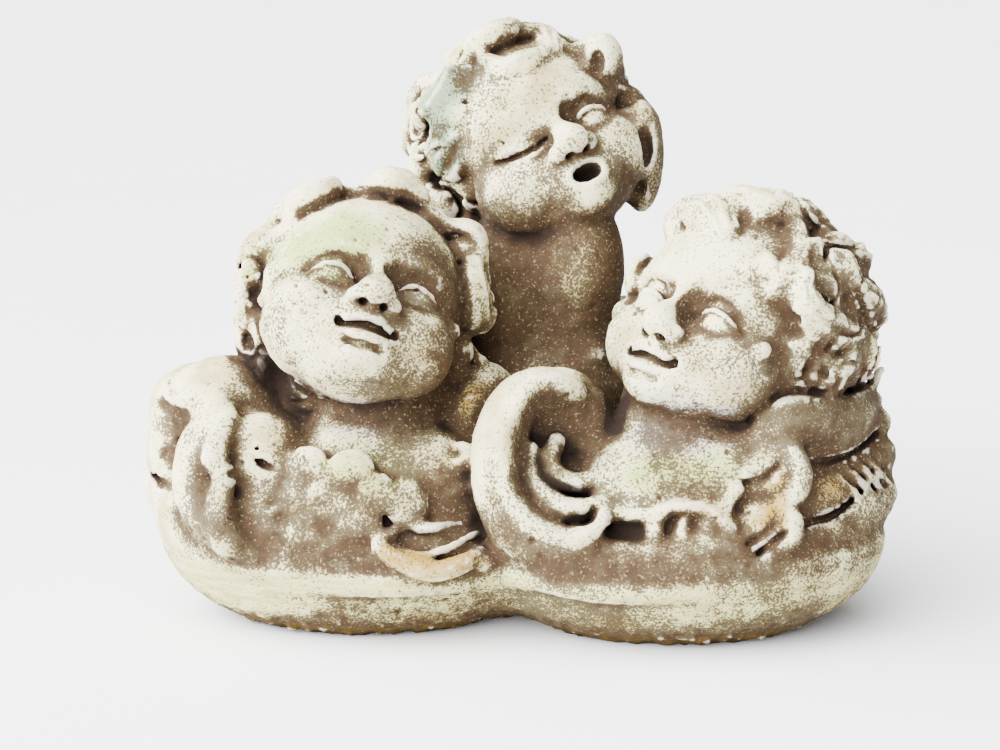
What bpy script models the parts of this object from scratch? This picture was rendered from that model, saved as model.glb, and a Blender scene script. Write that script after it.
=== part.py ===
"""A cast-stone group of three winged cherub heads on one three-lobed base.

Metres, +Z up. The origin lies on the floor under the middle of the group, the faces look along -Y and
+X is to the viewer's right. The group is one casting. Its forms are laid out in grains, which are
245ths of its height, and each head in shares of its own half width.
"""
import math

import bmesh
import bpy
import numpy as np
from mathutils import Euler, Matrix, Vector

# Driving dimensions.
GROUP_HEIGHT = 0.245
HEAD_HALF_WIDTH = 0.045
BASE_DEPTH = 0.048
LOCK_THICKNESS = 0.0065
MOUTH_DEPTH = 0.010
VOXEL = 0.0021
SOFTENING_STEPS = 4
TRIANGLES = 9600

GRAIN = GROUP_HEIGHT / 245

# Centre and half sizes of the base's lobes, in grains.
LOBES = {
    "left": ((-62, -46), (88, 56)),
    "right": ((66, -58), (88, 58)),
    "rear": ((0, 40), (80, 60)),
}
LOBE_CENTRE_HEIGHT = 38
LOBE_TOP = 0.2

# The mass between the lobes, in grains.
CORE_CENTRE = (0, -10, 36)
CORE_HALF_SIZES = (96, 62, 44)
CORE_TOP = 0.4

# The skull in shares of the head's half width. The head's frame has its face towards -Y.
SKULL = Vector((0, 0.1, 0.12))
SKULL_RADII = Vector((0.96, 1.06, 0.93))
LOCK_HALF_WIDTH = 0.18
LOCK_LIFT = 0.07
LOCK_TIP_RISE = 0.05
FORWARD = (0, -1, 0.2)
BACKWARD = (0, 1, 0.2)


class Place:
    """A local frame: its origin in grains, its turn in degrees and its unit in metres."""

    def __init__(self, origin=(0, 0, 0), yaw=0.0, pitch=0.0, roll=0.0, unit=GRAIN):
        self.origin = GRAIN * Vector(origin)
        about_y = Matrix.Rotation(math.radians(roll), 3, "Y")
        about_z = Matrix.Rotation(math.radians(yaw), 3, "Z")
        about_x = Matrix.Rotation(math.radians(-pitch), 3, "X")
        self.turn = about_y @ about_z @ about_x
        self.unit = unit

    def point(self, share):
        return self.origin + self.unit * (self.turn @ Vector(share))

    def direction(self, way):
        return self.turn @ Vector(way)


GROUP = Place()
HEADS = {
    "left": Place((-65, -38, 130), yaw=5.5, pitch=42.7, roll=17.6, unit=HEAD_HALF_WIDTH),
    "right": Place((94, -44, 125), yaw=-45.6, pitch=24.8, roll=9.3, unit=HEAD_HALF_WIDTH),
    "rear": Place((6, 38, 190), yaw=21.5, pitch=23.5, roll=-21.6, unit=HEAD_HALF_WIDTH),
}


def smooth_path(points, count):
    """Places along the Catmull-Rom curve through the points."""
    points = np.array(points, float)
    before = 2 * points[0] - points[1]
    after = 2 * points[-1] - points[-2]
    points = np.vstack([before, points, after])
    along = np.linspace(0, len(points) - 3 - 1e-9, count)
    first = along.astype(int)
    share = (along - first)[:, None]
    a, b, c, d = (points[first + step] for step in range(4))
    bend = 2 * a - 5 * b + 4 * c - d
    return 0.5 * (2 * b + (c - a) * share + bend * share**2 + (3 * b - a - 3 * c + d) * share**3)


def profile(values, count):
    """One value, or a few spread evenly along a strand, read at count places."""
    values = np.atleast_1d(values)
    return np.interp(np.linspace(0, 1, count), np.linspace(0, 1, len(values)), values)


def ball(clay, at, radii, place=GROUP, turn=(0, 0, 0), top=1.0, fineness=3):
    """An ellipsoid. top stretches its upper half."""
    made = bmesh.ops.create_icosphere(clay, subdivisions=fineness, radius=1.0)
    own = Euler([math.radians(angle) for angle in turn]).to_matrix()
    shape = place.turn @ own @ Matrix.Diagonal(place.unit * Vector(radii))
    centre = place.point(at)
    for vert in made["verts"]:
        if vert.co.z > 0:
            vert.co.z *= top
        vert.co = centre + shape @ vert.co


def strand(clay, path, width, depth=None, place=GROUP, outward=None, centre=None, sides=12, spacing=3.0):
    """A tapering loft with round ends. width and depth are half sizes across and along the outward way.

    outward is one direction for the whole strand. Without it the strand lies round centre.
    """
    path = [place.point(point) for point in path]
    length = sum((b - a).length for a, b in zip(path, path[1:]))
    count = int(np.clip(length / (spacing * GRAIN), 6, 26))
    spots = smooth_path(path, count)
    across = profile(width, count) * place.unit
    deep = profile(width if depth is None else depth, count) * place.unit
    along = np.gradient(spots, axis=0)
    along /= np.linalg.norm(along, axis=1)[:, None]
    if outward is None:
        ways = spots - np.array(place.point(centre))
    else:
        ways = np.tile(np.array(place.direction(outward)), (count, 1))
    ways = ways - (ways * along).sum(1)[:, None] * along
    ways /= np.linalg.norm(ways, axis=1)[:, None]
    beside = np.cross(along, ways)
    rings = []
    for end, direction in ((0, -1), (None, 0), (count - 1, 1)):
        if end is None:
            rings += [(spots[k], across[k], deep[k], k) for k in range(count)]
            continue
        reach = min(across[end], deep[end])
        cap = [(math.sin(angle) * reach, math.cos(angle)) for angle in np.radians([30, 60, 80])]
        steps = [(spots[end] + direction * far * along[end], across[end] * share, deep[end] * share, end)
                 for far, share in cap]
        rings += steps[::-1] if direction < 0 else steps
    loops = []
    angles = np.linspace(0, 2 * math.pi, sides, endpoint=False)
    for spot, wide, high, k in rings:
        around = wide * np.cos(angles)[:, None] * beside[k] + high * np.sin(angles)[:, None] * ways[k]
        loops.append([clay.verts.new(spot + offset) for offset in around])
    for lower, upper in zip(loops, loops[1:]):
        for k in range(sides):
            clay.faces.new((lower[k], lower[k - 1], upper[k - 1], upper[k]))
    clay.faces.new(loops[0])
    clay.faces.new(loops[-1][::-1])


def base(clay):
    """Three shallow lobes and the mass between them. The floor cuts them off flat."""
    for (x, y), (half_x, half_y) in LOBES.values():
        ball(clay, (x, y, LOBE_CENTRE_HEIGHT), (half_x, half_y, BASE_DEPTH / GRAIN), top=LOBE_TOP, fineness=5)
    ball(clay, CORE_CENTRE, CORE_HALF_SIZES, top=CORE_TOP, fineness=5)
    left_rim = [(-156, -30, 58), (-152, -42, 50), (-142, -60, 45), (-128, -78, 42), (-109, -92, 38),
                (-75, -101, 30), (-46, -103, 28), (-19, -92, 29), (-11, -80, 28)]
    right_rim = [(-8, -80, 32), (2, -98, 32), (17, -110, 31), (41, -115, 30), (68, -116, 31), (104, -106, 35),
                 (123, -92, 38), (139, -74, 42), (150, -56, 48), (156, -36, 56)]
    for rim in (left_rim, right_rim):
        strand(clay, rim, (3, 4, 4, 4, 3), (2.5, 3, 3, 3, 2.5), outward=(0, -1, 0))
    left_band = [(-142, -44, 58), (-134, -62, 50), (-112, -80, 42), (-80, -89, 37), (-46, -90, 33)]
    strand(clay, left_band, (7, 9, 9, 8, 7), (8, 10, 10, 9, 8), outward=FORWARD, sides=16)
    right_band = [(18, -98, 37), (44, -103, 38), (75, -104, 40), (104, -96, 43), (128, -76, 47), (148, -48, 55)]
    strand(clay, right_band, (8, 9, 9, 9, 8, 6), (9, 10, 10, 9, 9, 7), outward=FORWARD, sides=16)


def left_cherub(clay):
    """Neck, chest and wings of the left cherub, with the shell scroll at its foot."""
    strand(clay, [(-61, -30, 132), (-59, -38, 90), (-55, -42, 61)], (30, 31, 38), outward=FORWARD, sides=24)
    ball(clay, (-50, -58, 60), (40, 32, 26))
    ball(clay, (-32, -68, 62), (17, 18, 20))
    ball(clay, (-68, -66, 67), (22, 18, 20))
    shoulder = [(-71, -52, 71), (-90, -50, 73), (-106, -50, 81), (-119, -48, 92)]
    strand(clay, shoulder, (17, 14, 15, 18), outward=FORWARD)
    ball(clay, (-122, -48, 95), (18, 20, 17))
    ball(clay, (-133, -38, 88), (20, 22, 18))
    flank = [(-134, -36, 88), (-136, -42, 69), (-127, -55, 51), (-110, -72, 39), (-84, -84, 32)]
    strand(clay, flank, (18, 20, 21, 17, 9), outward=FORWARD, sides=20)
    ball(clay, (-76, -76, 42), (38, 22, 15))
    ball(clay, (-95, -66, 56), (26, 20, 24))
    fold = [(-122, -68, 90), (-128, -74, 78), (-129, -78, 64), (-124, -82, 52), (-113, -86, 43)]
    strand(clay, fold, (8, 10, 11, 10, 8), (10, 11, 11, 11, 9), outward=FORWARD, sides=16)
    edge = [(-117, -76, 90), (-120, -84, 83), (-121, -88, 77), (-117, -89, 70), (-119, -91, 61),
            (-118, -93, 52), (-114, -95, 44), (-107, -95, 40)]
    strand(clay, edge, (4, 5.5, 5, 4, 6, 7, 6.5, 4), outward=FORWARD)
    inner_wing = [(-26, -45, 57), (-21, -42, 78), (-13, -36, 92)]
    strand(clay, inner_wing, (15, 17, 14), (16, 15, 13), outward=FORWARD, sides=20)
    ball(clay, (-22, -66, 54), (15, 16, 13))
    for scale in ([(-94, -88, 64), (-90, -92, 56), (-83, -94, 53), (-74, -93, 57), (-71, -90, 61)],
                  [(-71, -92, 56), (-67, -96, 51), (-61, -97, 50), (-52, -97, 52), (-49, -93, 57)],
                  [(-78, -84, 69), (-72, -88, 62), (-66, -91, 59), (-60, -90, 60), (-53, -88, 64)],
                  [(-51, -90, 61), (-45, -95, 55), (-37, -95, 54), (-31, -92, 58)]):
        strand(clay, scale, 2.8, 3.2, outward=FORWARD)
    for tip in ([(-102, -97, 47), (-95, -96, 50)], [(-93, -98, 45), (-90, -95, 51)], [(-84, -99, 42), (-85, -96, 49)],
                [(-78, -100, 39), (-73, -98, 44)], [(-68, -101, 35), (-67, -98, 44)], [(-62, -102, 33), (-59, -98, 42)],
                [(-75, -100, 36), (-79, -97, 44)]):
        strand(clay, tip, (3.6, 2.4), (4, 3), outward=FORWARD)
    shell = [(-50, -96, 49), (-54, -100, 46), (-52, -102, 40), (-45, -104, 36), (-33, -104, 34),
             (-21, -100, 36), (-16, -94, 39)]
    strand(clay, shell, (3, 4, 4.5, 5, 5, 4.5, 3), outward=FORWARD)
    ball(clay, (-35, -78, 42), (22, 16, 14))
    ball(clay, (-11, -88, 37), (5, 5, 4))
    scroll = [(-41, -72, 68), (-33, -78, 67), (-26, -80, 70), (-20, -78, 75), (-22, -74, 79), (-25, -71, 77)]
    strand(clay, scroll, (3, 3.4, 3.4, 3, 2.4, 1.5), (6, 6, 6, 5, 3, 2), outward=(0, -0.4, 1))
    ball(clay, (-35, -78, 60), (5, 6, 6))


def right_cherub(clay):
    """Neck and chest of the right cherub, its outer wing and the leaves along its foot."""
    strand(clay, [(88, -40, 121), (73, -52, 87), (73, -56, 64)], (30, 30, 38), outward=FORWARD, sides=24)
    ball(clay, (66, -69, 62), (42, 30, 23))
    ball(clay, (50, -80, 66), (20, 17, 15))
    ball(clay, (84, -78, 70), (20, 19, 17))
    ball(clay, (45, -101, 37), (14, 11, 8.5))
    ball(clay, (76, -101, 43), (17, 11, 9))
    ball(clay, (75, -80, 44), (46, 24, 16))
    for place in ((83, -103, 51), (74, -103, 51), (65, -103, 51)):
        ball(clay, place, (5, 4.5, 6))
    hem = [(35, -95, 58), (47, -99, 58), (57, -101, 58), (70, -102, 61), (78, -102, 60), (88, -100, 64),
           (91, -98, 72), (100, -91, 81)]
    strand(clay, hem, 3, 4, outward=FORWARD)
    leaf = [(104, -88, 82), (110, -92, 80), (113, -94, 72), (111, -97, 65), (104, -98, 61)]
    strand(clay, leaf, (3, 5, 5.4, 5, 3), (3, 6, 7, 6, 4), outward=FORWARD)
    curl = [(106, -98, 60), (109, -100, 55), (108, -102, 48), (101, -103, 42), (92, -102, 39)]
    strand(clay, curl, (3.4, 5.4, 6, 5.4, 3.4), (4, 6, 7, 6, 4), outward=FORWARD)
    ball(clay, (101, -84, 63), (16, 12, 18))
    ball(clay, (101, -89, 71), (12, 9, 12))
    ball(clay, (98, -96, 51), (12, 9, 12))
    crest = [(102, -58, 86), (112, -52, 92), (126, -44, 87), (142, -34, 84), (154, -22, 90)]
    strand(clay, crest, (12, 15, 14, 11, 3.5), (14, 14, 12, 10, 4), outward=FORWARD, sides=16)
    strand(clay, [(117, -66, 71), (133, -56, 73), (151, -38, 79)], (12, 11, 7), (12, 12, 9), outward=FORWARD)
    strand(clay, [(116, -78, 55), (134, -66, 60), (151, -46, 68)], (14, 13, 9), (10, 10, 9), outward=FORWARD)
    strand(clay, [(111, -86, 41), (131, -72, 44), (150, -50, 52)], (10, 12, 9), (12, 14, 12), outward=FORWARD)


def great_scroll(clay):
    """The curled wing that the two front cherubs share, a rim that turns in over two inner ribs."""
    ball(clay, (12, -56, 80), (20, 18, 26), turn=(0, 15, 0))
    ball(clay, (12, -66, 54), (26, 22, 22))
    tongue = [(12, -66, 101), (18, -62, 97), (25, -60, 90), (30, -62, 80)]
    strand(clay, tongue, (9, 13, 14, 12), (8, 11, 12, 10), outward=FORWARD, sides=20)
    cup = [(12, -66, 100), (2, -70, 98), (-4, -76, 88), (-6, -82, 76), (-5, -88, 63), (2, -93, 50),
           (16, -96, 42), (34, -96, 39)]
    strand(clay, cup, (7, 9, 10, 11, 12, 12, 11, 9), (8, 10, 12, 13, 13, 13, 12, 9), outward=FORWARD, sides=20)
    rim = [(24, -72, 101), (18, -77, 105), (8, -80, 106), (1, -84, 100), (-4, -89, 90), (-5, -94, 78),
           (-3, -99, 67), (3, -103, 58), (11, -106, 52), (20, -107, 49), (29, -106, 51), (34, -103, 55),
           (34, -99, 59)]
    strand(clay, rim, (4, 5, 5, 4, 4, 4.6, 4.8, 4, 3), (4, 5, 6, 6, 7, 7, 7, 6, 4), outward=FORWARD)
    lower_rib = [(5, -84, 77), (5, -89, 69), (10, -93, 62), (19, -96, 58), (28, -96, 58), (33, -93, 60)]
    strand(clay, lower_rib, (3, 3.6, 4, 4, 3.6, 2.4), (5, 6, 7, 7, 6, 4), outward=FORWARD)
    upper_rib = [(15, -78, 79), (12, -82, 73), (16, -86, 68), (25, -88, 66), (34, -86, 67)]
    strand(clay, upper_rib, (3.4, 4, 4, 3.6, 2.6), (5, 6, 6, 6, 4), outward=FORWARD)


def rear_cherub(clay):
    """Neck and back of the rear cherub, with a wing of four feathers on each side."""
    strand(clay, [(14, 30, 162), (16, 22, 122), (16, 15, 87)], (27, 26, 40), outward=(0, -1, 0), sides=24)
    ball(clay, (4, 25, 72), (60, 42, 40), fineness=4)
    strand(clay, [(20, -5, 83), (26, -8, 96), (33, -10, 102)], (10, 9, 7), outward=(0, -1, 0))
    feathers = 5
    for side in (-1, 1):
        arm = [(side * 14, 44, 84), (side * 44, 58, 103), (side * 70, 56, 104), (side * 92, 44, 90)]
        strand(clay, arm, (14, 17, 15, 8), (12, 14, 12, 8), outward=BACKWARD, sides=16)
        for k in range(feathers):
            quill = [(side * (20 + 14 * k), 70 - 3 * k, 98 - k), (side * (28 + 15 * k), 82 - 6 * k, 70),
                     (side * (22 + 17 * k), 84 - 7 * k, 42 + 2 * k)]
            strand(clay, quill, (8, 10.5, 7), (7, 8, 5), outward=BACKWARD)


def face(clay, place):
    """A plump child's face: brow, cheeks, chin, nose and the balls of the eyes."""
    ball(clay, SKULL, SKULL_RADII, place, fineness=4)
    ball(clay, (0, -0.34, 0.14), (0.78, 0.58, 0.6), place, fineness=4)
    ball(clay, (0, -0.2, -0.44), (0.78, 0.68, 0.54), place, fineness=4)
    ball(clay, (0, -0.34, -0.78), (0.56, 0.54, 0.3), place)
    ball(clay, (0, -0.52, -1.0), (0.38, 0.36, 0.17), place)
    ball(clay, (0, -0.86, -1.0), (0.19, 0.15, 0.13), place)
    ball(clay, (0, -0.8, -0.76), (0.28, 0.23, 0.22), place)
    ball(clay, (0, -1.09, -0.5), (0.14, 0.12, 0.115), place)
    strand(clay, [(0, -0.86, -0.04), (0, -0.92, -0.25), (0, -1.05, -0.43)], (0.11, 0.09, 0.11), place=place,
           outward=(0, -1, 0))
    for side in (-1, 1):
        ball(clay, (side * 0.45, -0.6, -0.6), (0.34, 0.34, 0.32), place)
        ball(clay, (side * 0.58, -0.34, -0.58), (0.28, 0.4, 0.34), place)
        ball(clay, (side * 0.135, -1.0, -0.535), (0.085, 0.1, 0.08), place)
        ball(clay, (side * 0.385, -0.68, -0.26), (0.235, 0.2, 0.17), place)
        brow = [(side * 0.1, -0.87, -0.1), (side * 0.3, -0.9, -0.02), (side * 0.54, -0.79, -0.03),
                (side * 0.7, -0.6, -0.14)]
        strand(clay, brow, (0.05, 0.075, 0.075, 0.04), place=place, outward=(0, -1, 0))


def closed_lips(clay, place):
    """Two full lips with a dip in the middle of the upper one."""
    for side in (-1, 1):
        upper = [(0, -1.01, -0.745), (side * 0.08, -1.01, -0.725), (side * 0.17, -0.955, -0.745),
                 (side * 0.25, -0.855, -0.765)]
        strand(clay, upper, (0.045, 0.05, 0.04, 0.018), place=place, outward=(0, -1, 0))
    lower = [(-0.2, -0.9, -0.83), (-0.09, -0.99, -0.87), (0, -1.005, -0.875), (0.09, -0.99, -0.87),
             (0.2, -0.9, -0.83)]
    strand(clay, lower, (0.02, 0.055, 0.06, 0.055, 0.02), place=place, outward=(0, -1, 0))


def singing_mouth(clay, cuts, place):
    """Round lips about a mouth open in song."""
    around = np.linspace(0, 2 * math.pi, 13)
    ring = [(0.15 * math.sin(angle), -0.97, -0.81 + 0.1 * math.cos(angle)) for angle in around]
    strand(clay, ring, 0.055, place=place, outward=(0, -1, 0))
    ball(cuts, (0, -1.02, -0.81), (0.115, MOUTH_DEPTH / HEAD_HALF_WIDTH, 0.065), place)


def lock_path(azimuth, elevation, heading, length, curl, spiral, lift, tip, steps=9):
    """A walk over the skull, in radians of its sphere.

    It starts at azimuth and elevation. curl turns it all the way, spiral more and more towards the tip,
    and lift and tip are its height over the skull at the root and what the end rises beyond that.
    """
    azimuth, elevation, heading = (math.radians(angle) for angle in (azimuth, elevation, heading))
    here = Vector((math.sin(azimuth) * math.cos(elevation), -math.cos(azimuth) * math.cos(elevation),
                   math.sin(elevation)))
    east = Vector((math.cos(azimuth), math.sin(azimuth), 0))
    north = east.cross(here)
    north = -north if north.z < 0 else north
    way = math.cos(heading) * north + math.sin(heading) * east
    path = []
    stride = length / steps
    for k in range(steps + 1):
        share = k / steps
        path.append(SKULL + SKULL_RADII * here * (1 + lift + tip * share))
        turn = math.radians(curl + spiral * share * share) * stride
        way = way * math.cos(turn) + here.cross(way) * math.sin(turn)
        ahead = here * math.cos(stride) + way * math.sin(stride)
        way = way * math.cos(stride) - here * math.sin(stride)
        here = ahead.normalized()
        way = (way - here * way.dot(here)).normalized()
    return path


def lock(clay, place, **walk):
    """One flat lock of hair that thickens towards its curled end."""
    width = LOCK_HALF_WIDTH
    path = lock_path(lift=LOCK_LIFT, tip=LOCK_TIP_RISE, **walk)
    thick = LOCK_THICKNESS / HEAD_HALF_WIDTH
    widths = (0.55 * width, width, width, 0.85 * width, 0.5 * width)
    strand(clay, path, widths, (0.7 * thick, 0.9 * thick, thick, thick, 0.8 * thick), place=place, centre=SKULL)


def hair(clay, place):
    """Locks along the hairline, mirrored, and rows of them over the back of the head, and the tuft on the brow."""
    ball(clay, (0, 0.38, 0.22), (1.04, 0.94, 0.97), place, fineness=4)
    ball(clay, (0, 0.5, -0.3), (0.9, 0.72, 0.7), place, fineness=4)
    hairline = ((18, 58, 60, 0.8, 40, 300), (44, 46, 100, 0.75, -60, -320), (62, 30, 40, 0.8, 60, 330),
                (76, 8, 150, 0.7, -50, -330), (84, -16, 60, 0.7, 60, 360), (98, -36, 140, 0.7, -40, -340))
    for azimuth, elevation, heading, length, curl, spiral in hairline:
        for side in (-1, 1):
            lock(clay, place, azimuth=side * azimuth, elevation=elevation, heading=side * heading,
                 length=length, curl=-side * curl, spiral=-side * spiral)
    rows = ((70, 5, 0), (38, 7, 3.6), (8, 7, 0), (-22, 6, 4.2), (-46, 5, 0))
    for row, (elevation, count, shift) in enumerate(rows):
        for k in range(count):
            sense = 1 if (k + row) % 2 else -1
            lock(clay, place, azimuth=95 + 170 / (count - 1) * k + shift, elevation=elevation,
                 heading=180 - 60 * sense, length=0.85, curl=50 * sense, spiral=300 * sense)
    roll = lock_path(-24, 50, 60, 0.75, -60, -140, lift=0.0, tip=0.06)
    strand(clay, roll, (0.12, 0.2, 0.24, 0.22, 0.12), (0.1, 0.19, 0.24, 0.2, 0.1), place=place, centre=SKULL)
    small_roll = lock_path(16, 46, -60, 0.5, 120, 260, lift=0.08, tip=0.08)
    strand(clay, small_roll, (0.08, 0.12, 0.12, 0.08), (0.1, 0.14, 0.14, 0.08), place=place, centre=SKULL)


def stone():
    """Weathered cast stone, cream with a brown cast."""
    material = bpy.data.materials.new("cast_stone")
    material.use_nodes = True
    shader = material.node_tree.nodes["Principled BSDF"]
    shader.inputs["Base Color"].default_value = (0.52, 0.45, 0.34, 1.0)
    shader.inputs["Roughness"].default_value = 0.92
    shader.inputs["Metallic"].default_value = 0.0
    return material


def mesh_object(name, clay, collection):
    """The gathered forms as one object."""
    mesh = bpy.data.meshes.new(name)
    clay.to_mesh(mesh)
    clay.free()
    thing = bpy.data.objects.new(name, mesh)
    collection.objects.link(thing)
    return thing


def fuse(thing, voxel):
    """Makes one skin of forms that overlap."""
    remesh = thing.modifiers.new("fuse", "REMESH")
    remesh.mode = "VOXEL"
    remesh.voxel_size = voxel
    remesh.use_smooth_shade = True


def cut(thing, cutter):
    """Takes the cutter out of the thing."""
    boolean = thing.modifiers.new(cutter.name, "BOOLEAN")
    boolean.operation = "DIFFERENCE"
    boolean.solver = "EXACT"
    boolean.object = cutter


def floor_block(collection):
    """A block under the floor that leaves the base a flat underside."""
    reach = 2 * GROUP_HEIGHT
    block = bmesh.new()
    bmesh.ops.create_cube(block, size=1.0)
    bmesh.ops.scale(block, vec=(2 * reach, 2 * reach, reach), verts=block.verts)
    bmesh.ops.translate(block, vec=(0, 0, -reach / 2), verts=block.verts)
    return mesh_object("floor_cutter", block, collection)


def main():
    for thing in list(bpy.data.objects):
        bpy.data.objects.remove(thing)
    parts = bpy.data.collections.new("cherub_group")
    cutters = bpy.data.collections.new("cutters")
    for collection in (parts, cutters):
        bpy.context.scene.collection.children.link(collection)

    clay = bmesh.new()
    cuts = bmesh.new()
    for form in (base, left_cherub, right_cherub, great_scroll, rear_cherub):
        form(clay)
    for name, place in HEADS.items():
        face(clay, place)
        hair(clay, place)
        if name == "rear":
            singing_mouth(clay, cuts, place)
        else:
            closed_lips(clay, place)

    group = mesh_object("cherub_group", clay, parts)
    group.data.materials.append(stone())
    mouth = mesh_object("mouth_cutter", cuts, cutters)
    floor = floor_block(cutters)
    for cutter in (mouth, floor):
        cutter.hide_render = True
        cutter.display_type = "WIRE"

    fuse(group, VOXEL)
    cut(group, mouth)
    fuse(group, VOXEL)
    soften = group.modifiers.new("soften", "SMOOTH")
    soften.factor = 0.5
    soften.iterations = SOFTENING_STEPS
    faces = group.modifiers.new("faces", "DECIMATE")
    bpy.context.view_layer.update()
    depsgraph = bpy.context.evaluated_depsgraph_get()
    fused = group.evaluated_get(depsgraph).to_mesh()
    faces.ratio = TRIANGLES / sum(len(face.vertices) - 2 for face in fused.polygons)
    cut(group, floor)


if __name__ == "__main__":
    main()
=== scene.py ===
"""Dresses the cast-stone group of three winged cherub heads and sets it on a pale studio floor.

The group is carved as a signed distance field. Every form is a ball or a strand with a formula for its
distance, the forms are blended on one grid with numpy, and the zero surface becomes the mesh. Places are
in grains, of which the group is 245.7 high, and on a head in shares of its half width.
"""
import math

import bpy
import numpy as np
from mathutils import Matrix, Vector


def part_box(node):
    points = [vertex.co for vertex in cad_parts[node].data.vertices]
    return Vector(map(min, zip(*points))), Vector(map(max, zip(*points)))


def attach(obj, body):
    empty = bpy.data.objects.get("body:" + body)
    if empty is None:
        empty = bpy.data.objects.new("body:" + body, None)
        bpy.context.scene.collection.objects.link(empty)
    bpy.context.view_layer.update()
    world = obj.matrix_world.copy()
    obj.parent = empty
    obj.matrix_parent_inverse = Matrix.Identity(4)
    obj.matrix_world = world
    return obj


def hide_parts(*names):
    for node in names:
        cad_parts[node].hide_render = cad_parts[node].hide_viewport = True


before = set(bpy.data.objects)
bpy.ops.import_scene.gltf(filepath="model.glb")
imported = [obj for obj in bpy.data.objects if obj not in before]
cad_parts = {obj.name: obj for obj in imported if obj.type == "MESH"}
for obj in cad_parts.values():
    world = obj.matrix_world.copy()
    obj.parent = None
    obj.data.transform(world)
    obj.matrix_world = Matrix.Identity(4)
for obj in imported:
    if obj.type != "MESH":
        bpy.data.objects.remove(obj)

import openvdb
from bpy.props import FloatProperty, FloatVectorProperty, IntProperty, PointerProperty
from mathutils import Vector

bl_info = {
    "name": "Cherub head group",
    "version": (1, 0, 0),
    "blender": (4, 5, 0),
    "location": "3D View > Sidebar > Cherubs",
    "description": "Carves a cast-stone group of three cherub heads in worn paint and lights it",
    "category": "Object",
}

CAD_LOW, CAD_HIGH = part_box("cherub_group")
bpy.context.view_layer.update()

# The group's height in grains, the unit of its places.
GRAINS_HIGH = 245.7
# What the empty grid holds, in grains: further than any form blends.
FAR = 30.0
# Corners of the carving grid in grains, apart from its floor.
GRID_LOW = (-172, -130)
GRID_HIGH = (172, 120, 262)
# How far forms melt into each other before the fine carving, in grains.
MELT = 1.3
# Corners of the mesh this near the floor, in grains, are laid flat on it.
FOOT_FLAT = 0.35

# Steps of the grid between two spots of a strand, the fewest and most spots, and grid points taken at a time.
SPOT_GAP = 1.2
FEWEST_SPOTS, MOST_SPOTS = 8, 70
BATCH = 200000
# The least half size of a strand's section, in grains.
THINNEST = 0.15

FORWARD = (0, -1, 0.2)
BACKWARD = (0, 1, 0.2)
SKULL = np.array((0, 0.1, 0.12))
SKULL_RADII = np.array((0.96, 1.06, 0.93))
# Half a head's width in grains, and the reach of its own grid in such halves.
HEAD_UNIT = 45.0
HEAD_REACH = 1.55


class CherubSizes(bpy.types.PropertyGroup):
    """Sizes of the carved group."""

    height: FloatProperty(
        name="Height", description="Height of the group from its underside to the top curl",
        default=CAD_HIGH.z - CAD_LOW.z, min=0.05, unit="LENGTH",
    )
    step: FloatProperty(
        name="Carving step", description="Distance between the points of the carving grid, in grains",
        default=1.1, min=0.7, max=4.0,
    )
    triangles: IntProperty(
        name="Triangles", description="Triangles that the finished skin keeps", default=190000, min=5000,
        max=199000,
    )
    roughness: FloatProperty(
        name="Casting roughness", description="Height of the uneven casting skin, in grains", default=0.22,
        min=0.0,
    )
    pits: IntProperty(
        name="Pits", description="Number of open casting pores that are carved into the skin", default=900,
        min=0,
    )


def paint(name, description, default):
    """A colour that a user may change."""
    return FloatVectorProperty(
        name=name, description=description, subtype="COLOR", size=3, default=default, min=0.0, max=1.0,
    )


class CherubFinish(bpy.types.PropertyGroup):
    """Colours of the worn paint and of the ground under it."""

    cream: paint("Cream paint", "The worn paint on the raised parts", (0.62, 0.58, 0.34))
    ground: paint("Brown ground", "The reddish brown ground that shows in the recesses",
                  (0.075, 0.042, 0.020))
    tan: paint("Tan wash", "The thin wash between the paint and the bare ground", (0.27, 0.21, 0.09))
    ochre: paint("Ochre wash", "Ochre glaze on scrolls, stripes and the base", (0.25, 0.15, 0.02))
    green: paint("Green bloom", "Pale green on foreheads and chests", (0.31, 0.36, 0.10))
    teal: paint("Teal bloom", "Blue green in the rear cherub's hair", (0.13, 0.20, 0.12))
    hull: paint("Hull", "Pale yellow green on the outside of the bowls", (0.50, 0.46, 0.20))
    lilac: paint("Lilac white", "Cool white on the necks", (0.44, 0.41, 0.44))


class CherubStage(bpy.types.PropertyGroup):
    """The studio round the group."""

    distance: FloatProperty(
        name="Camera distance", description="From the camera to the middle of the group", default=0.95,
        unit="LENGTH",
    )
    elevation: FloatProperty(
        name="Camera elevation", description="How far the camera looks down", default=math.radians(12),
        unit="ROTATION",
    )
    focal_length: FloatProperty(
        name="Focal length", description="Focal length for a 36 mm wide sensor", default=78.66,
        unit="CAMERA",
    )
    key_power: FloatProperty(
        name="Key light", description="Power of the soft light at the upper left", default=32.0,
        unit="POWER",
    )
    sky_dim: FloatProperty(name="Sky, dim side", description="Strength of the sky away from the light",
                           default=0.2)
    sky_bright: FloatProperty(name="Sky, bright side", description="Strength of the sky towards the light",
                              default=15.0)


class Place:
    """A local frame: its origin in grains, its turn in degrees and its unit in grains."""

    def __init__(self, origin=(0, 0, 0), yaw=0.0, pitch=0.0, roll=0.0, unit=1.0):
        self.origin = np.array(origin, float)
        self.turn = turned("y", roll) @ turned("z", yaw) @ turned("x", -pitch)
        self.unit = unit

    def point(self, share):
        """Where a place of this frame lies, in grains."""
        return self.origin + self.unit * (np.asarray(share, float) @ self.turn.T)

    def direction(self, way):
        """Where a way of this frame points."""
        return np.asarray(way, float) @ self.turn.T


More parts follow.
